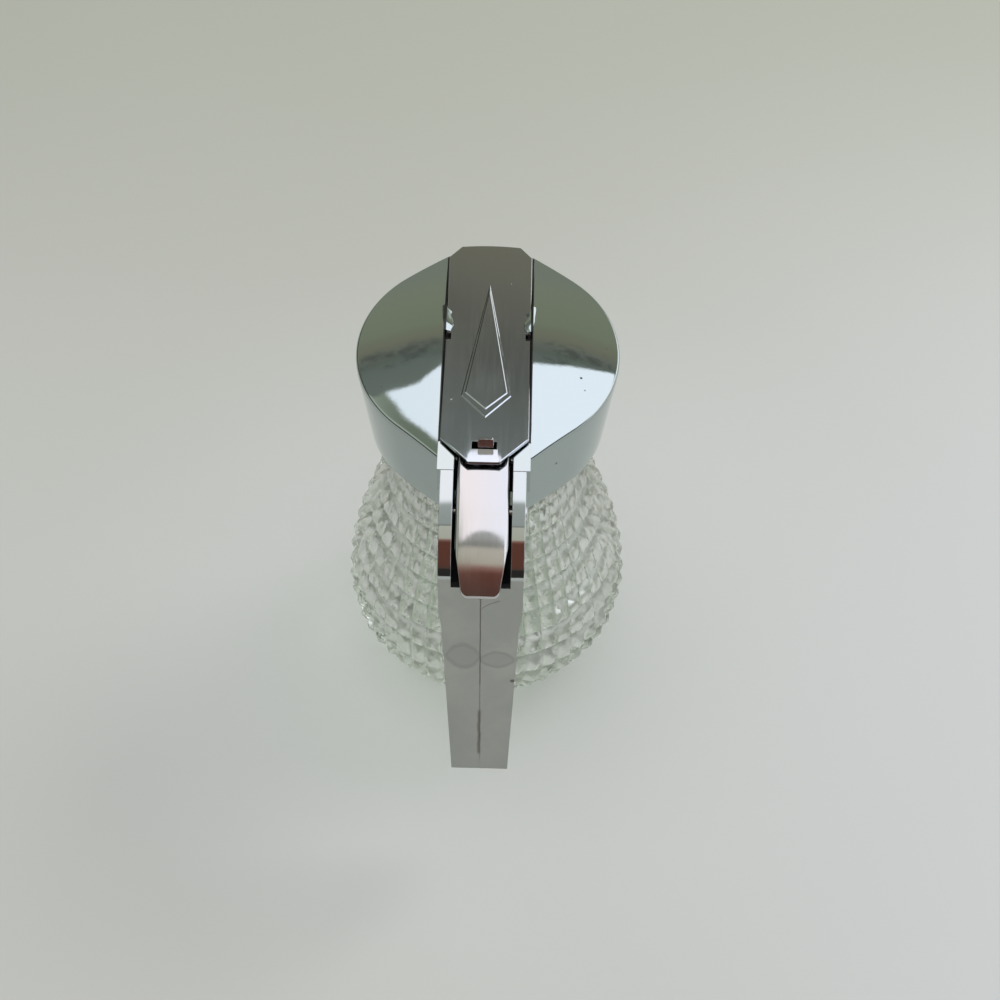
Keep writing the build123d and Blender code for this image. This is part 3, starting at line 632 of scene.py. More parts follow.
def drawn_in(outline, distance):
    """The outline moved in by a distance, corners kept sharp."""
    moved = []
    for k, here in enumerate(outline):
        before, after = Vector(outline[k - 1]), Vector(outline[(k + 1) % len(outline)])
        here = Vector(here)
        one, two = (here - before).normalized(), (after - here).normalized()
        normal_one, normal_two = Vector((-one.y, one.x)), Vector((-two.y, two.x))
        moved.append(here + (normal_one + normal_two) * distance / (1 + normal_one.dot(normal_two)))
    return [tuple(p) for p in moved]


def stacked(rings):
    """A closed solid through rings of points with the same count, flat or pointed at its ends."""
    vertices, faces, indices = [], [], []
    for ring in rings:
        indices.append(range(len(vertices), len(vertices) + len(ring)))
        vertices.extend(ring)
    for lower, upper in zip(indices, indices[1:]):
        count = len(lower)
        for k in range(count):
            after = (k + 1) % count
            faces.append((lower[k], lower[after], upper[after], upper[k]))
    for end in (indices[0], indices[-1]):
        if len(set(map(tuple, (vertices[k] for k in end)))) > 1:
            faces.append(tuple(end))
    return vertices, faces


def solid(name, shell):
    made = bpy.data.objects.new(name, mesh_of(name, shell))
    bpy.context.scene.collection.objects.link(made)
    return made


def prism(points, plane, low, high):
    """A solid drawn in a plane, XY, YZ or XZ, that runs from low to high across it."""
    order = {"XY": lambda a, b, c: (a, b, c), "YZ": lambda a, b, c: (c, a, b), "XZ": lambda a, b, c: (a, c, b)}[plane]
    return solid("tool", stacked([[order(a, b, level) for a, b in points] for level in (low, high)]))


def block(low, high):
    return prism([(low[0], low[1]), (high[0], low[1]), (high[0], high[1]), (low[0], high[1])], "XY", low[2], high[2])


def drum(centre, radius, plane, low, high, steps=96):
    return prism(arc(centre, radius, 0, 360 - 360 / steps, steps - 1), plane, low, high)


def combine(base, tool, operation):
    """Cuts, joins or crosses a solid with another, which is used up."""
    modifier = base.modifiers.new("combine", "BOOLEAN")
    modifier.operation, modifier.object, modifier.solver = operation, tool, "MANIFOLD"
    depsgraph = bpy.context.evaluated_depsgraph_get()
    mesh = bpy.data.meshes.new_from_object(base.evaluated_get(depsgraph))
    base.modifiers.clear()
    base.data = mesh
    bpy.data.objects.remove(tool)
    return base


def cut(base, *tools):
    for tool in tools:
        combine(base, tool, "DIFFERENCE")
    return base


def join(base, *tools):
    for tool in tools:
        combine(base, tool, "UNION")
    return base


def taken(made):
    """The mesh of a solid, whose object is dropped."""
    mesh = made.data
    bpy.data.objects.remove(made)
    return mesh


sphere_z = dome_top_z - dome_r
at_rim = lid_outline(0.0)
at_foot = lid_outline(skirt_inset)


def between(share):
    return [(a[0] + (b[0] - a[0]) * share, a[1] + (b[1] - a[1]) * share) for a, b in zip(at_foot, at_rim)]


lid_rings = [[(px, py, rim_z - skirt_h) for px, py in drawn_in(at_foot, 0.5)]]
lid_rings += [[(px, py, rim_z - skirt_h + 0.15) for px, py in drawn_in(at_foot, 0.15)]]
lid_rings += [[(px, py, rim_z - skirt_h * (1 - share)) for px, py in between(share)] for share in (0.02, 0.25, 0.5, 0.75, 1.0)]
hinge_line = drawn_in(at_rim, rim_round)
round_heights = [sphere_z + sqrt((dome_r - rim_round) ** 2 - px * px - py * py) for px, py in hinge_line]
for step in range(8):
    phi = radians(75.6) * step / 7
    ring = []
    for (cx, cy), (ox, oy), level in zip(hinge_line, at_rim, round_heights):
        ring.append((cx + (ox - cx) * cos(phi), cy + (oy - cy) * cos(phi), level + rim_round * sin(phi)))
    lid_rings.append(ring)
top_ring = lid_rings[-1]
for share in (0.97, 0.93, 0.88, 0.82, 0.76, 0.7, 0.63, 0.56, 0.49, 0.42, 0.35, 0.28, 0.2, 0.1, 0.0):
    ring = []
    for px, py, _ in top_ring:
        px, py = px * share, py * share
        ring.append((px, py, sphere_z + sqrt(dome_r**2 - px * px - py * py)))
    lid_rings.append(ring)
lid = solid("lid", stacked(lid_rings))

plate_front_y, plate_cut_y, plate_front_x, plate_bulge = 37.0, 32.9, 8.3, 0.5
seat_front = [(plate_front_x - 2 * plate_front_x * k / 8, plate_front_y + 0.3 + plate_bulge * (1 - (1 - k / 4) ** 2)) for k in range(9)]
seat_plan = [(-nose_x, plate_cut_y + 0.9), (-nose_x, -33.5), (nose_x, -33.5), (nose_x, plate_cut_y + 0.9)] + seat_front
ears_side = [(-33.4, 122.0), (ear_end_y, 122.0), (ear_end_y, seat_z - ear_fall), (-33.4, seat_z)]
join(lid, prism(seat_plan, "XY", 124.0, seat_z), prism(ears_side, "YZ", -nose_x, nose_x))
cut(lid, block((-channel_x, -60, seat_z), (channel_x, 60, 145)))
mouth_x, mouth_from_y, mouth_to_y, lip_width, lip_h = 6.2, 31.4, 35.8, 1.2, 0.6
join(lid, block((-mouth_x - lip_width, mouth_from_y - lip_width, seat_z - 1), (mouth_x + lip_width, mouth_to_y + lip_width - 0.1, seat_z + lip_h)))
tenon_x, tenon_half, tenon_low_z, tenon_high_z = 9.6, 1.1, 107.9, 119.1
cut(
    lid,
    drum((0, 0), thread_bore_r, "XY", 95.0, ring_seat_z, 192),
    drum((0, 0), neck_bore_r, "XY", ring_seat_z - 1.0, chamber_z, 192),
    block((-mouth_x, 15.0, 121.6), (mouth_x, mouth_to_y, chamber_z)),
    block((-mouth_x, mouth_from_y, chamber_z - 1.0), (mouth_x, mouth_to_y, 145.0)),
    block((-slot_wall_x, -60.0, 105.7), (slot_wall_x, pocket_front_y, 145.0)),
    *(
        block((side * tenon_x - tenon_half, -40.0, tenon_low_z), (side * tenon_x + tenon_half, -32.5, tenon_high_z))
        for side in (-1, 1)
    ),
)
# each lug was struck down with a punch, which left it torn and lumpy
lug_from_y, lug_to_y, lug_reach, lug_z = 4.2, 13.5, 2.3, 133.15
lumps = np.random.default_rng(4)
for side in (-1, 1):
    rings = []
    for step, share in enumerate(np.linspace(0.0, 1.0, 9)):
        y = lug_from_y + (lug_to_y - lug_from_y) * share
        reach = lug_reach * (sin(pi * min(1.0, share * 1.25 + 0.12)) ** 0.45 if share < 0.72 else (1 - share) / 0.32)
        reach = max(0.15, reach + lumps.uniform(-0.18, 0.18))
        crest = 0.35 + 0.65 * sin(pi * (0.12 + 0.7 * share)) + lumps.uniform(-0.12, 0.1)
        root = channel_x + 0.9
        section = [
            (root, lug_z),
            (channel_x - reach, lug_z),
            (channel_x - reach * (0.96 + lumps.uniform(-0.08, 0.03)), lug_z + 0.25 * crest),
            (channel_x - reach * 0.62, lug_z + (0.62 + lumps.uniform(-0.2, 0.12)) * crest),
            (channel_x - reach * 0.25, lug_z + (0.9 + lumps.uniform(-0.1, 0.05)) * crest),
            (channel_x + 0.2, lug_z + 0.98 * min(crest, 1.0)),
            (root, lug_z + 0.3),
        ]
        rings.append([(side * px, y, min(pz, lug_z + 1.0)) for px, pz in section])
    join(lid, solid("lug", stacked(rings)))

plated_casting, graph = new_material("plated_casting")
x, y, z = graph.place()
# a casting is never quite flat under its plating, and polishing leaves small pits
swell = graph.bump(graph.noise(28.0, 1.0), 0.00030, 0.30)
orange = graph.bump(graph.noise(420.0, 2.0), 0.000012, 0.4, under=swell)
pits = graph.node("ShaderNodeTexVoronoi", {"feature": "F1"}, {"Vector": graph.node("ShaderNodeTexCoord", output="Object"), "Scale": 260.0})
pitted = pits.rise(0.05, 0.13, 1.0, 0.0) * graph.noise(45.0, 2.0).rise(0.60, 0.66)
smears = graph.noise(34.0, 4.0, roughness=0.65).rise(0.45, 0.75)
# painted shade: the narrow gap along the plate's sides is darkened in colour
painted_gap_shade = abs(abs(x) - 0.0119).rise(0.00032, 0.0004, 1.0, 0.0) * z.rise(0.1308, 0.1310) * (y * -1.0).rise(0.0334, 0.0336, 1.0, 0.0)
# painted shade: the seat under the plate is darkened in colour too
painted_shade_under_plate = z.rise(0.1300, 0.1301) * z.rise(0.1318, 0.1319, 1.0, 0.0) * abs(x).rise(0.0119, 0.0120, 1.0, 0.0)
painted_gap_shade = painted_gap_shade.most(painted_shade_under_plate * y.rise(-0.0330, -0.0325))
# painted shade: faces that turn to the side, as the skirt does, take a darker plating colour than the top
_, _, lean_z = graph.split(graph.node("ShaderNodeNewGeometry", output="Normal"))
plating = graph.colour(lean_z.rise(0.1, 0.5), (0.395, 0.453, 0.441), (0.56, 0.615, 0.605))
graph.surface(
    graph.node(
        "ShaderNodeBsdfPrincipled",
        inputs={
            "Base Color": graph.colour(pitted.most(painted_gap_shade), plating, (0.07, 0.07, 0.065)),
            "Metallic": 1.0,
            "Roughness": smears * 0.05 + pitted.most(painted_gap_shade) * 0.3 + 0.035,
            "Normal": graph.node("ShaderNodeBevel", {"samples": 4}, {"Radius": 0.0002, "Normal": orange}),
        },
    )
)
finish_piece("lid_casting", taken(lid), "top", "lid_body", plated_casting, 28.0)

# ================================================================== sliding plate
# Stamped from polished sheet: cut corners, sides turned down, a raised kite in two steps, a slot for
# the lever's tab with the sheet bent down behind it, and a notch behind each lug.
plate_z, sheet, plate_low_z = 133.0, 0.8, 131.6
plate_x, plate_rear_x, plate_rear_y, plate_rear_cut_y = 11.65, 4.3, -41.2, -33.4
slot_x, slot_from_y, slot_to_y, bend_y, rear_fall = 3.3, -37.0, -34.4, -37.2, 0.40
plate_round = 0.35
front_edge = [
    (plate_front_x - 2 * plate_front_x * k / 12, plate_front_y + plate_bulge * (1 - (1 - k / 6) ** 2)) for k in range(13)
]
plate_plan = [
    (-plate_x, plate_cut_y),
    (-plate_x, plate_rear_cut_y),
    (-plate_rear_x, plate_rear_y),
    (plate_rear_x, plate_rear_y),
    (plate_x, plate_rear_cut_y),
    (plate_x, plate_cut_y),
] + front_edge
plate_rings = [[(px, py, plate_z - sheet) for px, py in plate_plan]]
for step in range(6):
    phi = pi / 2 * step / 5
    inset, level = plate_round * (1 - cos(phi)), plate_z - plate_round * (1 - sin(phi))
    plate_rings.append([(px, py, level) for px, py in drawn_in(plate_plan, inset)])
plate = solid("plate", stacked(plate_rings))
for side in (-1, 1):
    low_x, high_x = sorted((side * plate_x, side * (plate_x - sheet)))
    join(plate, block((low_x, plate_rear_cut_y + 0.3, plate_low_z), (high_x, plate_cut_y - 0.3, plate_z - 0.5)))
    low_x, high_x = sorted((side * (plate_x - 1.5), side * (plate_x + 2)))
    cut(plate, block((low_x, 1.3, 130.0), (high_x, 3.9, 136.0)))
cut(plate, block((-slot_x, slot_from_y, 130.0), (slot_x, slot_to_y, 136.0)))


def kite(top_y, side_x, side_y, bottom_y, level, inset=0.0):
    corners = drawn_in([(0.0, bottom_y), (side_x, side_y), (0.0, top_y), (-side_x, side_y)], inset)
    return [(px, py, level) for px, py in corners]


outer_kite, inner_kite, kite_step, kite_slope = (22.4, 6.7, -18.8, -26.4), (20.5, 5.7, -17.9, -23.7), 0.22, 0.26
join(plate, solid("kite", stacked([kite(*outer_kite, plate_z - 0.3), kite(*outer_kite, plate_z), kite(*outer_kite, plate_z + kite_step, kite_slope)])))
kite_rings = [kite(*inner_kite, plate_z - 0.2), kite(*inner_kite, plate_z + kite_step)]
join(plate, solid("kite", stacked(kite_rings + [kite(*inner_kite, plate_z + 2 * kite_step - 0.02, kite_slope)])))
plate_mesh = taken(plate)
bent = bmesh.new()
bent.from_mesh(plate_mesh)
for place, normal in (((0, bend_y, 0), (0, 1, 0)), *(((px, 0, 0), (1, 0, 0)) for px in (-4.9, -3.5, 3.5, 4.9))):
    bmesh.ops.bisect_plane(bent, geom=bent.verts[:] + bent.edges[:] + bent.faces[:], plane_co=place, plane_no=normal)
for vertex in bent.verts:
    if vertex.co.y < bend_y:
        middle = min(1.0, max(0.0, (4.9 - abs(vertex.co.x)) / 1.4))
        vertex.co.z -= rear_fall * middle * (bend_y - vertex.co.y) / (bend_y - plate_rear_y)
bent.to_mesh(plate_mesh)
bent.free()

stamped_steel, graph = new_material("stamped_steel")
x, y, z = graph.place()
# the press leaves a faint pillow over the sheet, and use leaves fine scratches along it
pillow = graph.bump(graph.noise(26.0, 1.0), 0.00025, 0.10)
stretched = graph.node(
    "ShaderNodeMapping", inputs={"Vector": graph.node("ShaderNodeTexCoord", output="Object"), "Scale": (1600.0, 60.0, 200.0)}
)
scratches = graph.noise(1.0, 3.0, stretched, 0.6)
haze = graph.noise(48.0, 4.0, roughness=0.6).rise(0.4, 0.75)
specks = graph.node("ShaderNodeTexVoronoi", inputs={"Vector": graph.node("ShaderNodeTexCoord", output="Object"), "Scale": 330.0})
specks = specks.rise(0.04, 0.12, 1.0, 0.0) * graph.noise(70.0, 2.0).rise(0.58, 0.66)
# the front is a little worn and yellower, the rear bluer
sheet_colour = graph.colour(y.rise(-0.034, 0.005, 1.0, 0.0), (0.575, 0.58, 0.585), (0.655, 0.69, 0.735))
# painted shade: the kite's left-facing steps are darkened in colour
lean_x, _, _ = graph.split(graph.node("ShaderNodeNewGeometry", output="Normal"))
painted_left_step_shade = (lean_x * -1.0).rise(0.42, 0.52) * abs(x).rise(0.0072, 0.0076, 1.0, 0.0)
sheet_colour = graph.colour(painted_left_step_shade * 0.85, sheet_colour, (0.10, 0.10, 0.10))
graph.surface(
    graph.node(
        "ShaderNodeBsdfPrincipled",
        inputs={
            "Base Color": graph.colour(specks * 0.5, sheet_colour, (0.66, 0.66, 0.66)),
            "Metallic": 1.0,
            "Roughness": scratches.rise(0.35, 0.7) * 0.04 + haze * 0.05 + specks * 0.3 + 0.07,
            "Normal": graph.node(
                "ShaderNodeBevel",
                {"samples": 4},
                {"Radius": 0.00015, "Normal": graph.bump(scratches, 0.000004, 0.35, under=pillow)},
            ),
        },
    )
)
finish_piece("cutoff_plate", plate_mesh, "plate", "slide_plate", stamped_steel, 20.0)

# ================================================================== thumb lever
# One piece of polished sheet: an arched back rolled over at its sides, cheeks down to the pin, a
# tongue for the thumb, and a tab bent up through the plate's slot.
pivot_y, pivot_z, pin_r = -40.5, 110.6, 1.5
lever_x, lever_sheet, back_r, roll_r, crown = 7.0, 0.8, 47.0, 1.05, 0.24
crown_y, crown_z, start_deg, end_deg = -41.0, 130.6, 5.0, 47.5
arch_y, arch_z = crown_y + back_r * sin(radians(start_deg)), crown_z - back_r * cos(radians(start_deg))
nose_end_y, nose_root_y, nose_half_x = -35.9, -37.4, 3.0
tongue_from_y, tongue_half_x, tongue_round = -60.8, 4.9, 2.0
nose_slope = tan(radians(start_deg))


def back_line(depth, from_y, to_deg, steps=56):
    """Side view of the lever's back, this deep under its upper face, from the nose to the tongue."""
    start = radians(90 + start_deg)
    lean = (cos(start), sin(start))
    nose = [(y, crown_z + (y - crown_y) * nose_slope) for y in np.linspace(from_y, crown_y, 6)[:-1]]
    nose = [(y - lean[0] * depth, z - lean[1] * depth) for y, z in nose]
    return nose + arc((arch_y, arch_z), back_r - depth, 90 + start_deg, 90 + to_deg, steps)


def rolled(x, half_x, roll):
    """How far the sheet's face lies under its middle at x: a slight crown, then the rolled side."""
    inside = half_x - abs(x)
    side = roll - sqrt(max(0.0, roll**2 - (roll - inside) ** 2)) if inside < roll else 0.0
    return side + crown * (x / half_x) ** 2


def across_lever(half_x, roll):
    side = [half_x - roll + roll * sin(pi / 2 * k / 8) for k in range(9)]
    return [-px for px in side[::-1]] + [px for px in np.linspace(-half_x + roll, half_x - roll, 7)[1:-1]] + side


def bent_block(half_x, roll, under):
    """Everything below the lever's face, or below its underside where it is drawn in."""
    rings = []
    for x in across_lever(half_x, roll):
        depth = rolled(x * lever_x / half_x, lever_x, roll_r) + under
        line = back_line(depth, nose_end_y + 2 * under, end_deg + 3.0)
        rings.append([(x, y, z) for y, z in line + [(-78.0, 88.0), (nose_end_y + 2 * under, 88.0)]])
    return solid("bent", stacked(rings))


def softened(before, corner, after, radius, steps=8):
    """The points of a round that takes a corner's place."""
    corner = Vector(corner)
    one, two = (Vector(before) - corner).normalized(), (Vector(after) - corner).normalized()
    half = one.angle(two) / 2
    centre = corner + (one + two).normalized() * radius / sin(half)
    start, end = corner + one * radius / tan(half) - centre, corner + two * radius / tan(half) - centre
    turn = pi - 2 * half
    parts = [k / steps for k in range(steps + 1)]
    return [tuple(centre + (start * sin((1 - t) * turn) + end * sin(t * turn)) / sin(turn)) for t in parts]


lever = bent_block(lever_x, roll_r, 0.0)
cut(lever, bent_block(lever_x - lever_sheet, roll_r - lever_sheet, lever_sheet))
boss_r = 3.6
deep_line = back_line(lever_sheet + roll_r, nose_end_y, end_deg + 2.0)
side_mask = back_line(-1.5, nose_end_y, end_deg + 2.0)
side_mask += [p for p in deep_line if p[0] < tongue_from_y - 0.1][::-1]
side_mask += [(tongue_from_y, 119.6), (-52.8, 118.8), *arc((pivot_y, pivot_z), boss_r, 180, 360, 16), (nose_root_y, 124.6)]
side_mask += [p for p in back_line(lever_sheet, nose_end_y, end_deg) if p[0] > nose_root_y][::-1]
combine(lever, prism(side_mask, "YZ", -12.0, 12.0), "INTERSECT")
tongue_end_y = arch_y - back_r * sin(radians(end_deg))
tip = softened((lever_x, tongue_from_y), (tongue_half_x, tongue_end_y), (0.0, tongue_end_y), tongue_round)
plan = [(nose_half_x, nose_end_y), (nose_half_x, nose_root_y), (lever_x + 1, nose_root_y)]
plan += [(lever_x + 1, tongue_from_y + 1), (lever_x, tongue_from_y)] + tip
plan += [(-px, py) for px, py in plan[::-1]]
combine(lever, prism(plan, "XY", 95.0, 140.0), "INTERSECT")
tab_x, tab_off_x, tab_top_z, tab_round = 2.05, 0.4, 136.5, 0.6
tab = (
    [(tab_off_x - tab_x, 130.4), (tab_off_x + tab_x, 130.4)]
    + arc((tab_off_x + tab_x - tab_round, tab_top_z - tab_round), tab_round, 0, 90, 6)
    + arc((tab_off_x - tab_x + tab_round, tab_top_z - tab_round), tab_round, 90, 180, 6)
)
join(lever, prism(tab, "XZ", nose_end_y - lever_sheet, nose_end_y))
cut(lever, drum((pivot_y, pivot_z), pin_r + 0.05, "YZ", -12.0, 12.0, 48))

polished_steel, graph = new_material("polished_steel")
x, y, z = graph.place()
stretched = graph.node(
    "ShaderNodeMapping", inputs={"Vector": graph.node("ShaderNodeTexCoord", output="Object"), "Scale": (1500.0, 50.0, 50.0)}
)
grain = graph.noise(1.0, 3.0, stretched, 0.6)
# thumbs wear the arched back a little duller than the rest
worn = (y * -1.0).rise(0.048, 0.060) * graph.noise(90.0, 3.0).rise(0.35, 0.7)
graph.surface(
    graph.node(
        "ShaderNodeBsdfPrincipled",
        inputs={
            "Base Color": graph.colour(worn, (0.625, 0.61, 0.61), (0.60, 0.59, 0.57)),
            "Metallic": 1.0,
            "Roughness": grain.rise(0.3, 0.7) * 0.04 + worn * 0.06 + 0.075,
            "Normal": graph.node(
                "ShaderNodeBevel",
                {"samples": 4},
                {"Radius": 0.00022, "Normal": graph.bump(grain, 0.000004, 0.3, under=graph.bump(graph.noise(30.0, 1.0), 0.0002, 0.12))},
            ),
        },
    )
)
finish_piece("lever_sheet", taken(lever), "lever", "thumb_lever", polished_steel, 25.0)

# ================================================================== handle
# Two plated castings that meet on a seam down the middle of the rear face. Above they make a fork
# for the lever; below, a hollow grip. The rear face was linished, which left it satin.
arm_x, arm_top_z = 11.2, 130.75
corner_y, corner_z, tip_y, tip_z, tip_depth = -66.2, 121.0, -77.0, 38.3, 6.5
fork_floor_z, notch_z, rear_wall, grip_wall = 106.0, 113.1, 1.7, 1.6
rear_lean = (tip_y - corner_y) / (corner_z - tip_z)


def rear_y(z):
    return corner_y + rear_lean * (corner_z - z)


def smooth_line(points, steps):
    """A smooth curve through the points, by cubic pieces that share their slopes."""
    made = []
    for k in range(len(points) - 1):
        p0, p1, p2, p3 = (np.array(points[min(max(j, 0), len(points) - 1)]) for j in (k - 1, k, k + 1, k + 2))
        for step in range(steps):
            t = step / steps
            made.append(tuple(0.5 * (2 * p1 + (p2 - p0) * t + (2 * p0 - 5 * p1 + 4 * p2 - p3) * t**2 + (3 * p1 - p0 - 3 * p2 + p3) * t**3)))
    return made + [tuple(points[-1])]


# the arms run level from the ears, bend down sharply, fall evenly and then round over to the rear face
arm_slopes = [(ear_end_y, 4), (-46.7, 6), (-48.1, 26), (-56.2, 30), (-57.0, 34.5), (-59.0, 36.5), (-60.0, 40.5), (-65.3, 42)]
arm_line = [(ear_end_y, arm_top_z)]
for (from_y, from_deg), (to_y, to_deg) in zip(arm_slopes, arm_slopes[1:]):
    for step in range(6):
        y, z = arm_line[-1]
        reach = (from_y - to_y) / 6
        arm_line.append((y - reach, z - reach * tan(radians(from_deg + (to_deg - from_deg) * (step + 0.5) / 6))))
arm_line += [(rear_y(115.9), 115.9)]
grip_line = smooth_line([(tip_y + tip_depth, tip_z), (-64.5, 68.0), (-58.2, 88.0), (-46.0, 100.2), (-34.03, 103.2)], 10)
side_view = arm_line + [(rear_y(z), z) for z in (94.0, 67.0)] + [(tip_y, tip_z)] + grip_line + [(-36.28, 122.0), (ear_end_y, 122.0)]
half_widths = [(118.0, 11.2), (102.0, 10.95), (98.0, 10.3), (90.0, 10.0), (68.0, 9.1), (35.0, 7.8)]
outer_line = [(140.0, 11.2)] + half_widths
seam_gap = 0.02
front_view = [(seam_gap, 140.0)] + [(px, pz) for pz, px in outer_line] + [(seam_gap, 35.0)]


def inner_view(points, inset):
    """The side view drawn in, kept under the fork's floor."""
    return [p for p in drawn_in(points, inset) if p[1] < fork_floor_z - grip_wall]


handle_plating, graph = new_material("handle_plating")
x, y, z = graph.place()
# the rear face is satin from the arms' corner down; arms and sides are bright
facing = graph.node("ShaderNodeNewGeometry", output="Normal")
_, lean_y, _ = graph.split(facing)
satin = (lean_y * -1.0).rise(0.80, 0.93) * (z * -1.0).rise(-0.1163, -0.1157)
blotches = graph.noise(70.0, 4.0, roughness=0.6)
brushed = graph.noise(
    1.0,
    3.0,
    graph.node("ShaderNodeMapping", inputs={"Vector": graph.node("ShaderNodeTexCoord", output="Object"), "Scale": (300.0, 300.0, 900.0)}),
)
# each half keeps a lens-shaped mark where it was pushed out of its mould, one a little higher
right_side = x.rise(-0.0001, 0.0001)
along = (abs(x) - 0.0046) / 0.0048
up = (z - 0.0865 + right_side * 0.0012) / (0.0048 - right_side * 0.0016)
lens = along * along + abs(up) ** 1.1 + (graph.noise(300.0, 2.0) - 0.5) * 0.4
mark, mark_rim = lens.rise(0.75, 1.0, 1.0, 0.0), abs(lens - 0.95).rise(0.05, 0.3, 1.0, 0.0)
# the seam shows as a dark uneven line, wider low down
wander = (graph.noise(120.0, 3.0, graph.join(0.0, 0.0, z)) - 0.5) * 0.0016
upper_seam = z.rise(0.0735, 0.0760, 0.35, 1.0)
lower_seam = abs(z - 0.0545).rise(0.0085, 0.0105, 1.0, 0.0)
seam = abs(x + wander * 0.4).rise(0.00005, 0.00030, 0.75, 0.0) * upper_seam
seam = seam.most(abs(x + wander + 0.0002).rise(0.0001, 0.00075, 1.0, 0.0) * lower_seam * 0.8)
# above, the right half was dressed to a curve
dressed = abs(z - 0.1040 - (x / 0.0045).most(0.0) ** 0.5 * 0.0042).rise(0.00008, 0.00030, 1.0, 0.0) * x.rise(0.0, 0.0004) * x.rise(0.0045, 0.0055, 0.5, 0.0)
seam = seam.most(dressed * z.rise(0.1040, 0.1044))
nick = graph.node("ShaderNodeVectorMath", {"operation": "DISTANCE"}, {0: graph.join(x, 0.0, z), 1: (0.0088, 0.0, 0.0767)}, "Value")
nick = nick.rise(0.00035, 0.0009, 1.0, 0.0)
flaws = (seam.most(nick) * satin).least(1.0)
face_colour = graph.colour(blotches.rise(0.35, 0.7), (0.41, 0.425, 0.40), (0.475, 0.48, 0.455))
face_colour = graph.colour(z.rise(0.035, 0.085, 0.35, 0.0), face_colour, (0.33, 0.34, 0.32))
face_colour = graph.colour(mark * 0.5, face_colour, (0.37, 0.38, 0.36))
face_colour = graph.colour(mark_rim * 0.4, face_colour, (0.27, 0.28, 0.265))
# painted shade: inside the fork the casting is coloured near black; it is also rougher, as unplated casting
inside = abs(x).rise(0.00768, 0.0078, 1.0, 0.0) * z.rise(0.104, 0.105) * (1 - satin)
colour = graph.colour(satin, graph.colour(inside, (0.58, 0.62, 0.62), (0.05, 0.05, 0.05)), face_colour)
colour = graph.colour(flaws * 0.75, colour, (0.135, 0.115, 0.10))
dents = graph.bump((seam.most(nick) + mark_rim * 0.25) * satin * -1.0, 0.00012, 0.6, under=graph.bump(graph.noise(34.0, 1.0), 0.00025, 0.2))
graph.surface(
    graph.node(
        "ShaderNodeBsdfPrincipled",
        inputs={
            "Base Color": colour,
            "Metallic": 1.0,
            "Roughness": satin * (blotches.rise(0.3, 0.7) * 0.10 + 0.24) + (flaws * 0.2 + inside * 0.4) + 0.05,
            "Normal": graph.node(
                "ShaderNodeBevel", {"samples": 4}, {"Radius": 0.00025, "Normal": graph.bump(brushed * satin, 0.000006, 0.4, under=dents)}
            ),
        },
    )
)
mirror_half = Matrix.Scale(-1, 4, (1, 0, 0))
for name, node, side in (("handle_half_right", "handle_right", 1), ("handle_half_left", "handle_left", -1)):
    half = prism(side_view, "YZ", -1.0, 12.0)
    combine(half, prism(front_view, "XZ", -90.0, -20.0), "INTERSECT")
    hollow = prism(inner_view(side_view, grip_wall), "YZ", -1.0, 12.0)
    inner_front = [(seam_gap - 1, 140.0)] + [(px - grip_wall, pz) for pz, px in outer_line] + [(seam_gap - 1, 35.0)]
    combine(hollow, prism(inner_front, "XZ", -90.0, -20.0), "INTERSECT")
    fork = [
        (-20.0, fork_floor_z),
        (rear_y(fork_floor_z) + rear_wall, fork_floor_z),
        (rear_y(notch_z) + rear_wall, notch_z),
        (-95.0, notch_z),
        (-95.0, 145.0),
        (-20.0, 145.0),
    ]
    cut(half, hollow, prism(fork, "YZ", -1.0, slot_wall_x), drum((pivot_y, pivot_z), pin_r + 0.05, "YZ", -1.0, 14.0, 48))
    spring_seat = drum((0.0, -52.0), 2.3, "XY", fork_floor_z - 0.5, fork_floor_z + 3.0, 48)
    combine(spring_seat, block((seam_gap, -60.0, 90.0), (5.0, -45.0, 120.0)), "INTERSECT")
    join(half, spring_seat, block((8.6, -39.0, 108.0), (10.6, -33.0, 119.0)))
    half_mesh = taken(half)
    if side < 0:
        half_mesh.transform(mirror_half)
        half_mesh.flip_normals()
    finish_piece(name, half_mesh, "top", node, handle_plating, 26.0)

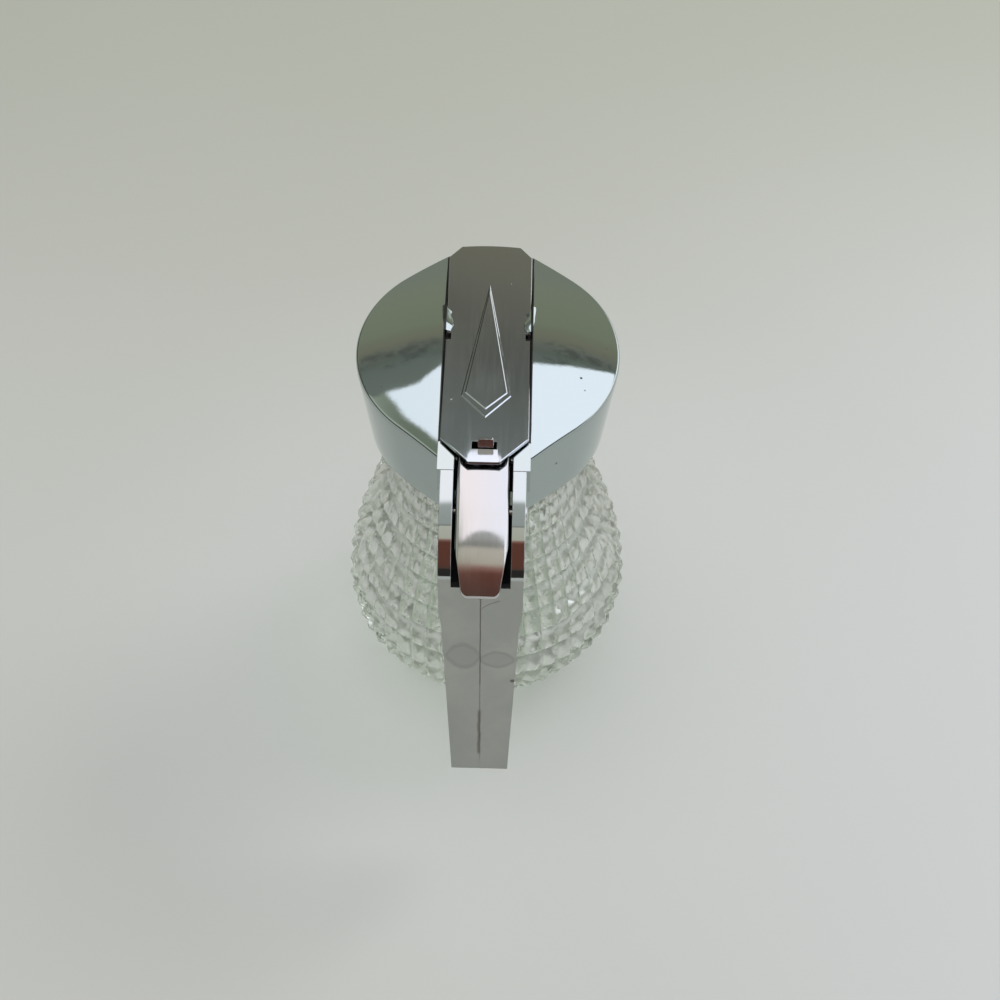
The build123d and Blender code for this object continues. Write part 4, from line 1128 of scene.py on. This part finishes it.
# ================================================================== lever pin
# A turned steel pin, headed over on both sides of the fork.
pin_steel, graph = new_material("pin_steel")
x, y, z = graph.place()
rings_on_head = ((((y + 0.0405) ** 2.0 + (z - 0.1106) ** 2.0) ** 0.5) * 9000.0).math("SINE")
hammered = graph.noise(300.0, 2.0)
graph.surface(
    graph.node(
        "ShaderNodeBsdfPrincipled",
        inputs={
            "Base Color": graph.colour(hammered, (0.60, 0.60, 0.59), (0.74, 0.74, 0.73)),
            "Metallic": 1.0,
            "Roughness": hammered.rise(0.3, 0.7) * 0.12 + 0.16,
            "Normal": graph.bump(rings_on_head, 0.000004, 0.3, under=graph.bump(hammered, 0.00004, 0.5)),
        },
    )
)
head_r, head_h = 2.25, 0.8
dome = [(head_r * cos(a), arm_x + 0.18 + (head_h - 0.18) * sin(a)) for a in (pi / 2 * k / 9 for k in range(10))]
pin_profile = [(r, -h) for r, h in dome[::-1]] + [(head_r, -arm_x), (pin_r, -arm_x), (pin_r, 0.0), (pin_r, arm_x), (head_r, arm_x)] + dome
pin_vertices, pin_faces = turned([(max(r, 0.0) if r > 1e-4 else 0.0, h) for r, h in pin_profile], 48)
pin_vertices = [(h, pivot_y + px, pivot_z + py) for px, py, h in pin_vertices]
finish_piece("pivot_pin", mesh_of("pin", (pin_vertices, pin_faces)), "top", "lever_pin", pin_steel)

# ================================================================== return spring
# An open coil of drawn wire that stands on the fork's floor and pushes the lever's back up.
spring_wire, graph = new_material("spring_wire")
drawn = graph.noise(500.0, 2.0)
graph.surface(
    graph.node(
        "ShaderNodeBsdfPrincipled",
        inputs={
            "Base Color": graph.colour(drawn, (0.42, 0.42, 0.43), (0.58, 0.58, 0.60)),
            "Metallic": 1.0,
            "Roughness": drawn.rise(0.3, 0.7) * 0.12 + 0.24,
            "Normal": graph.bump(drawn, 0.00001, 0.4),
        },
    )
)
spring_tree = new_tree("coil_spring")
graph, (coils, coil_r, wire_r, low_z, coil_h, centre_y) = tree_inputs(
    spring_tree, Turns=5.0, Coil_radius=3.0, Wire_radius=0.35, Low=106.35, Rise=19.1, Centre_y=-52.0
)
helix = graph.node(
    "GeometryNodeCurveSpiral",
    inputs={"Resolution": 48, "Rotations": coils, "Start Radius": coil_r, "End Radius": coil_r, "Height": coil_h},
)
wire = graph.node("GeometryNodeCurvePrimitiveCircle", inputs={"Resolution": 12, "Radius": wire_r})
tube = graph.node("GeometryNodeCurveToMesh", inputs={"Curve": helix, "Profile Curve": wire, "Fill Caps": True})
stood = graph.node("GeometryNodeTransform", inputs={"Geometry": tube, "Translation": graph.join(0.0, centre_y, low_z)})
spring = finish_piece(
    "coil_spring", grown_mesh("spring", spring_tree, graph, stood, spring_wire), "top", "return_spring", spring_wire
)
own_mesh(spring)
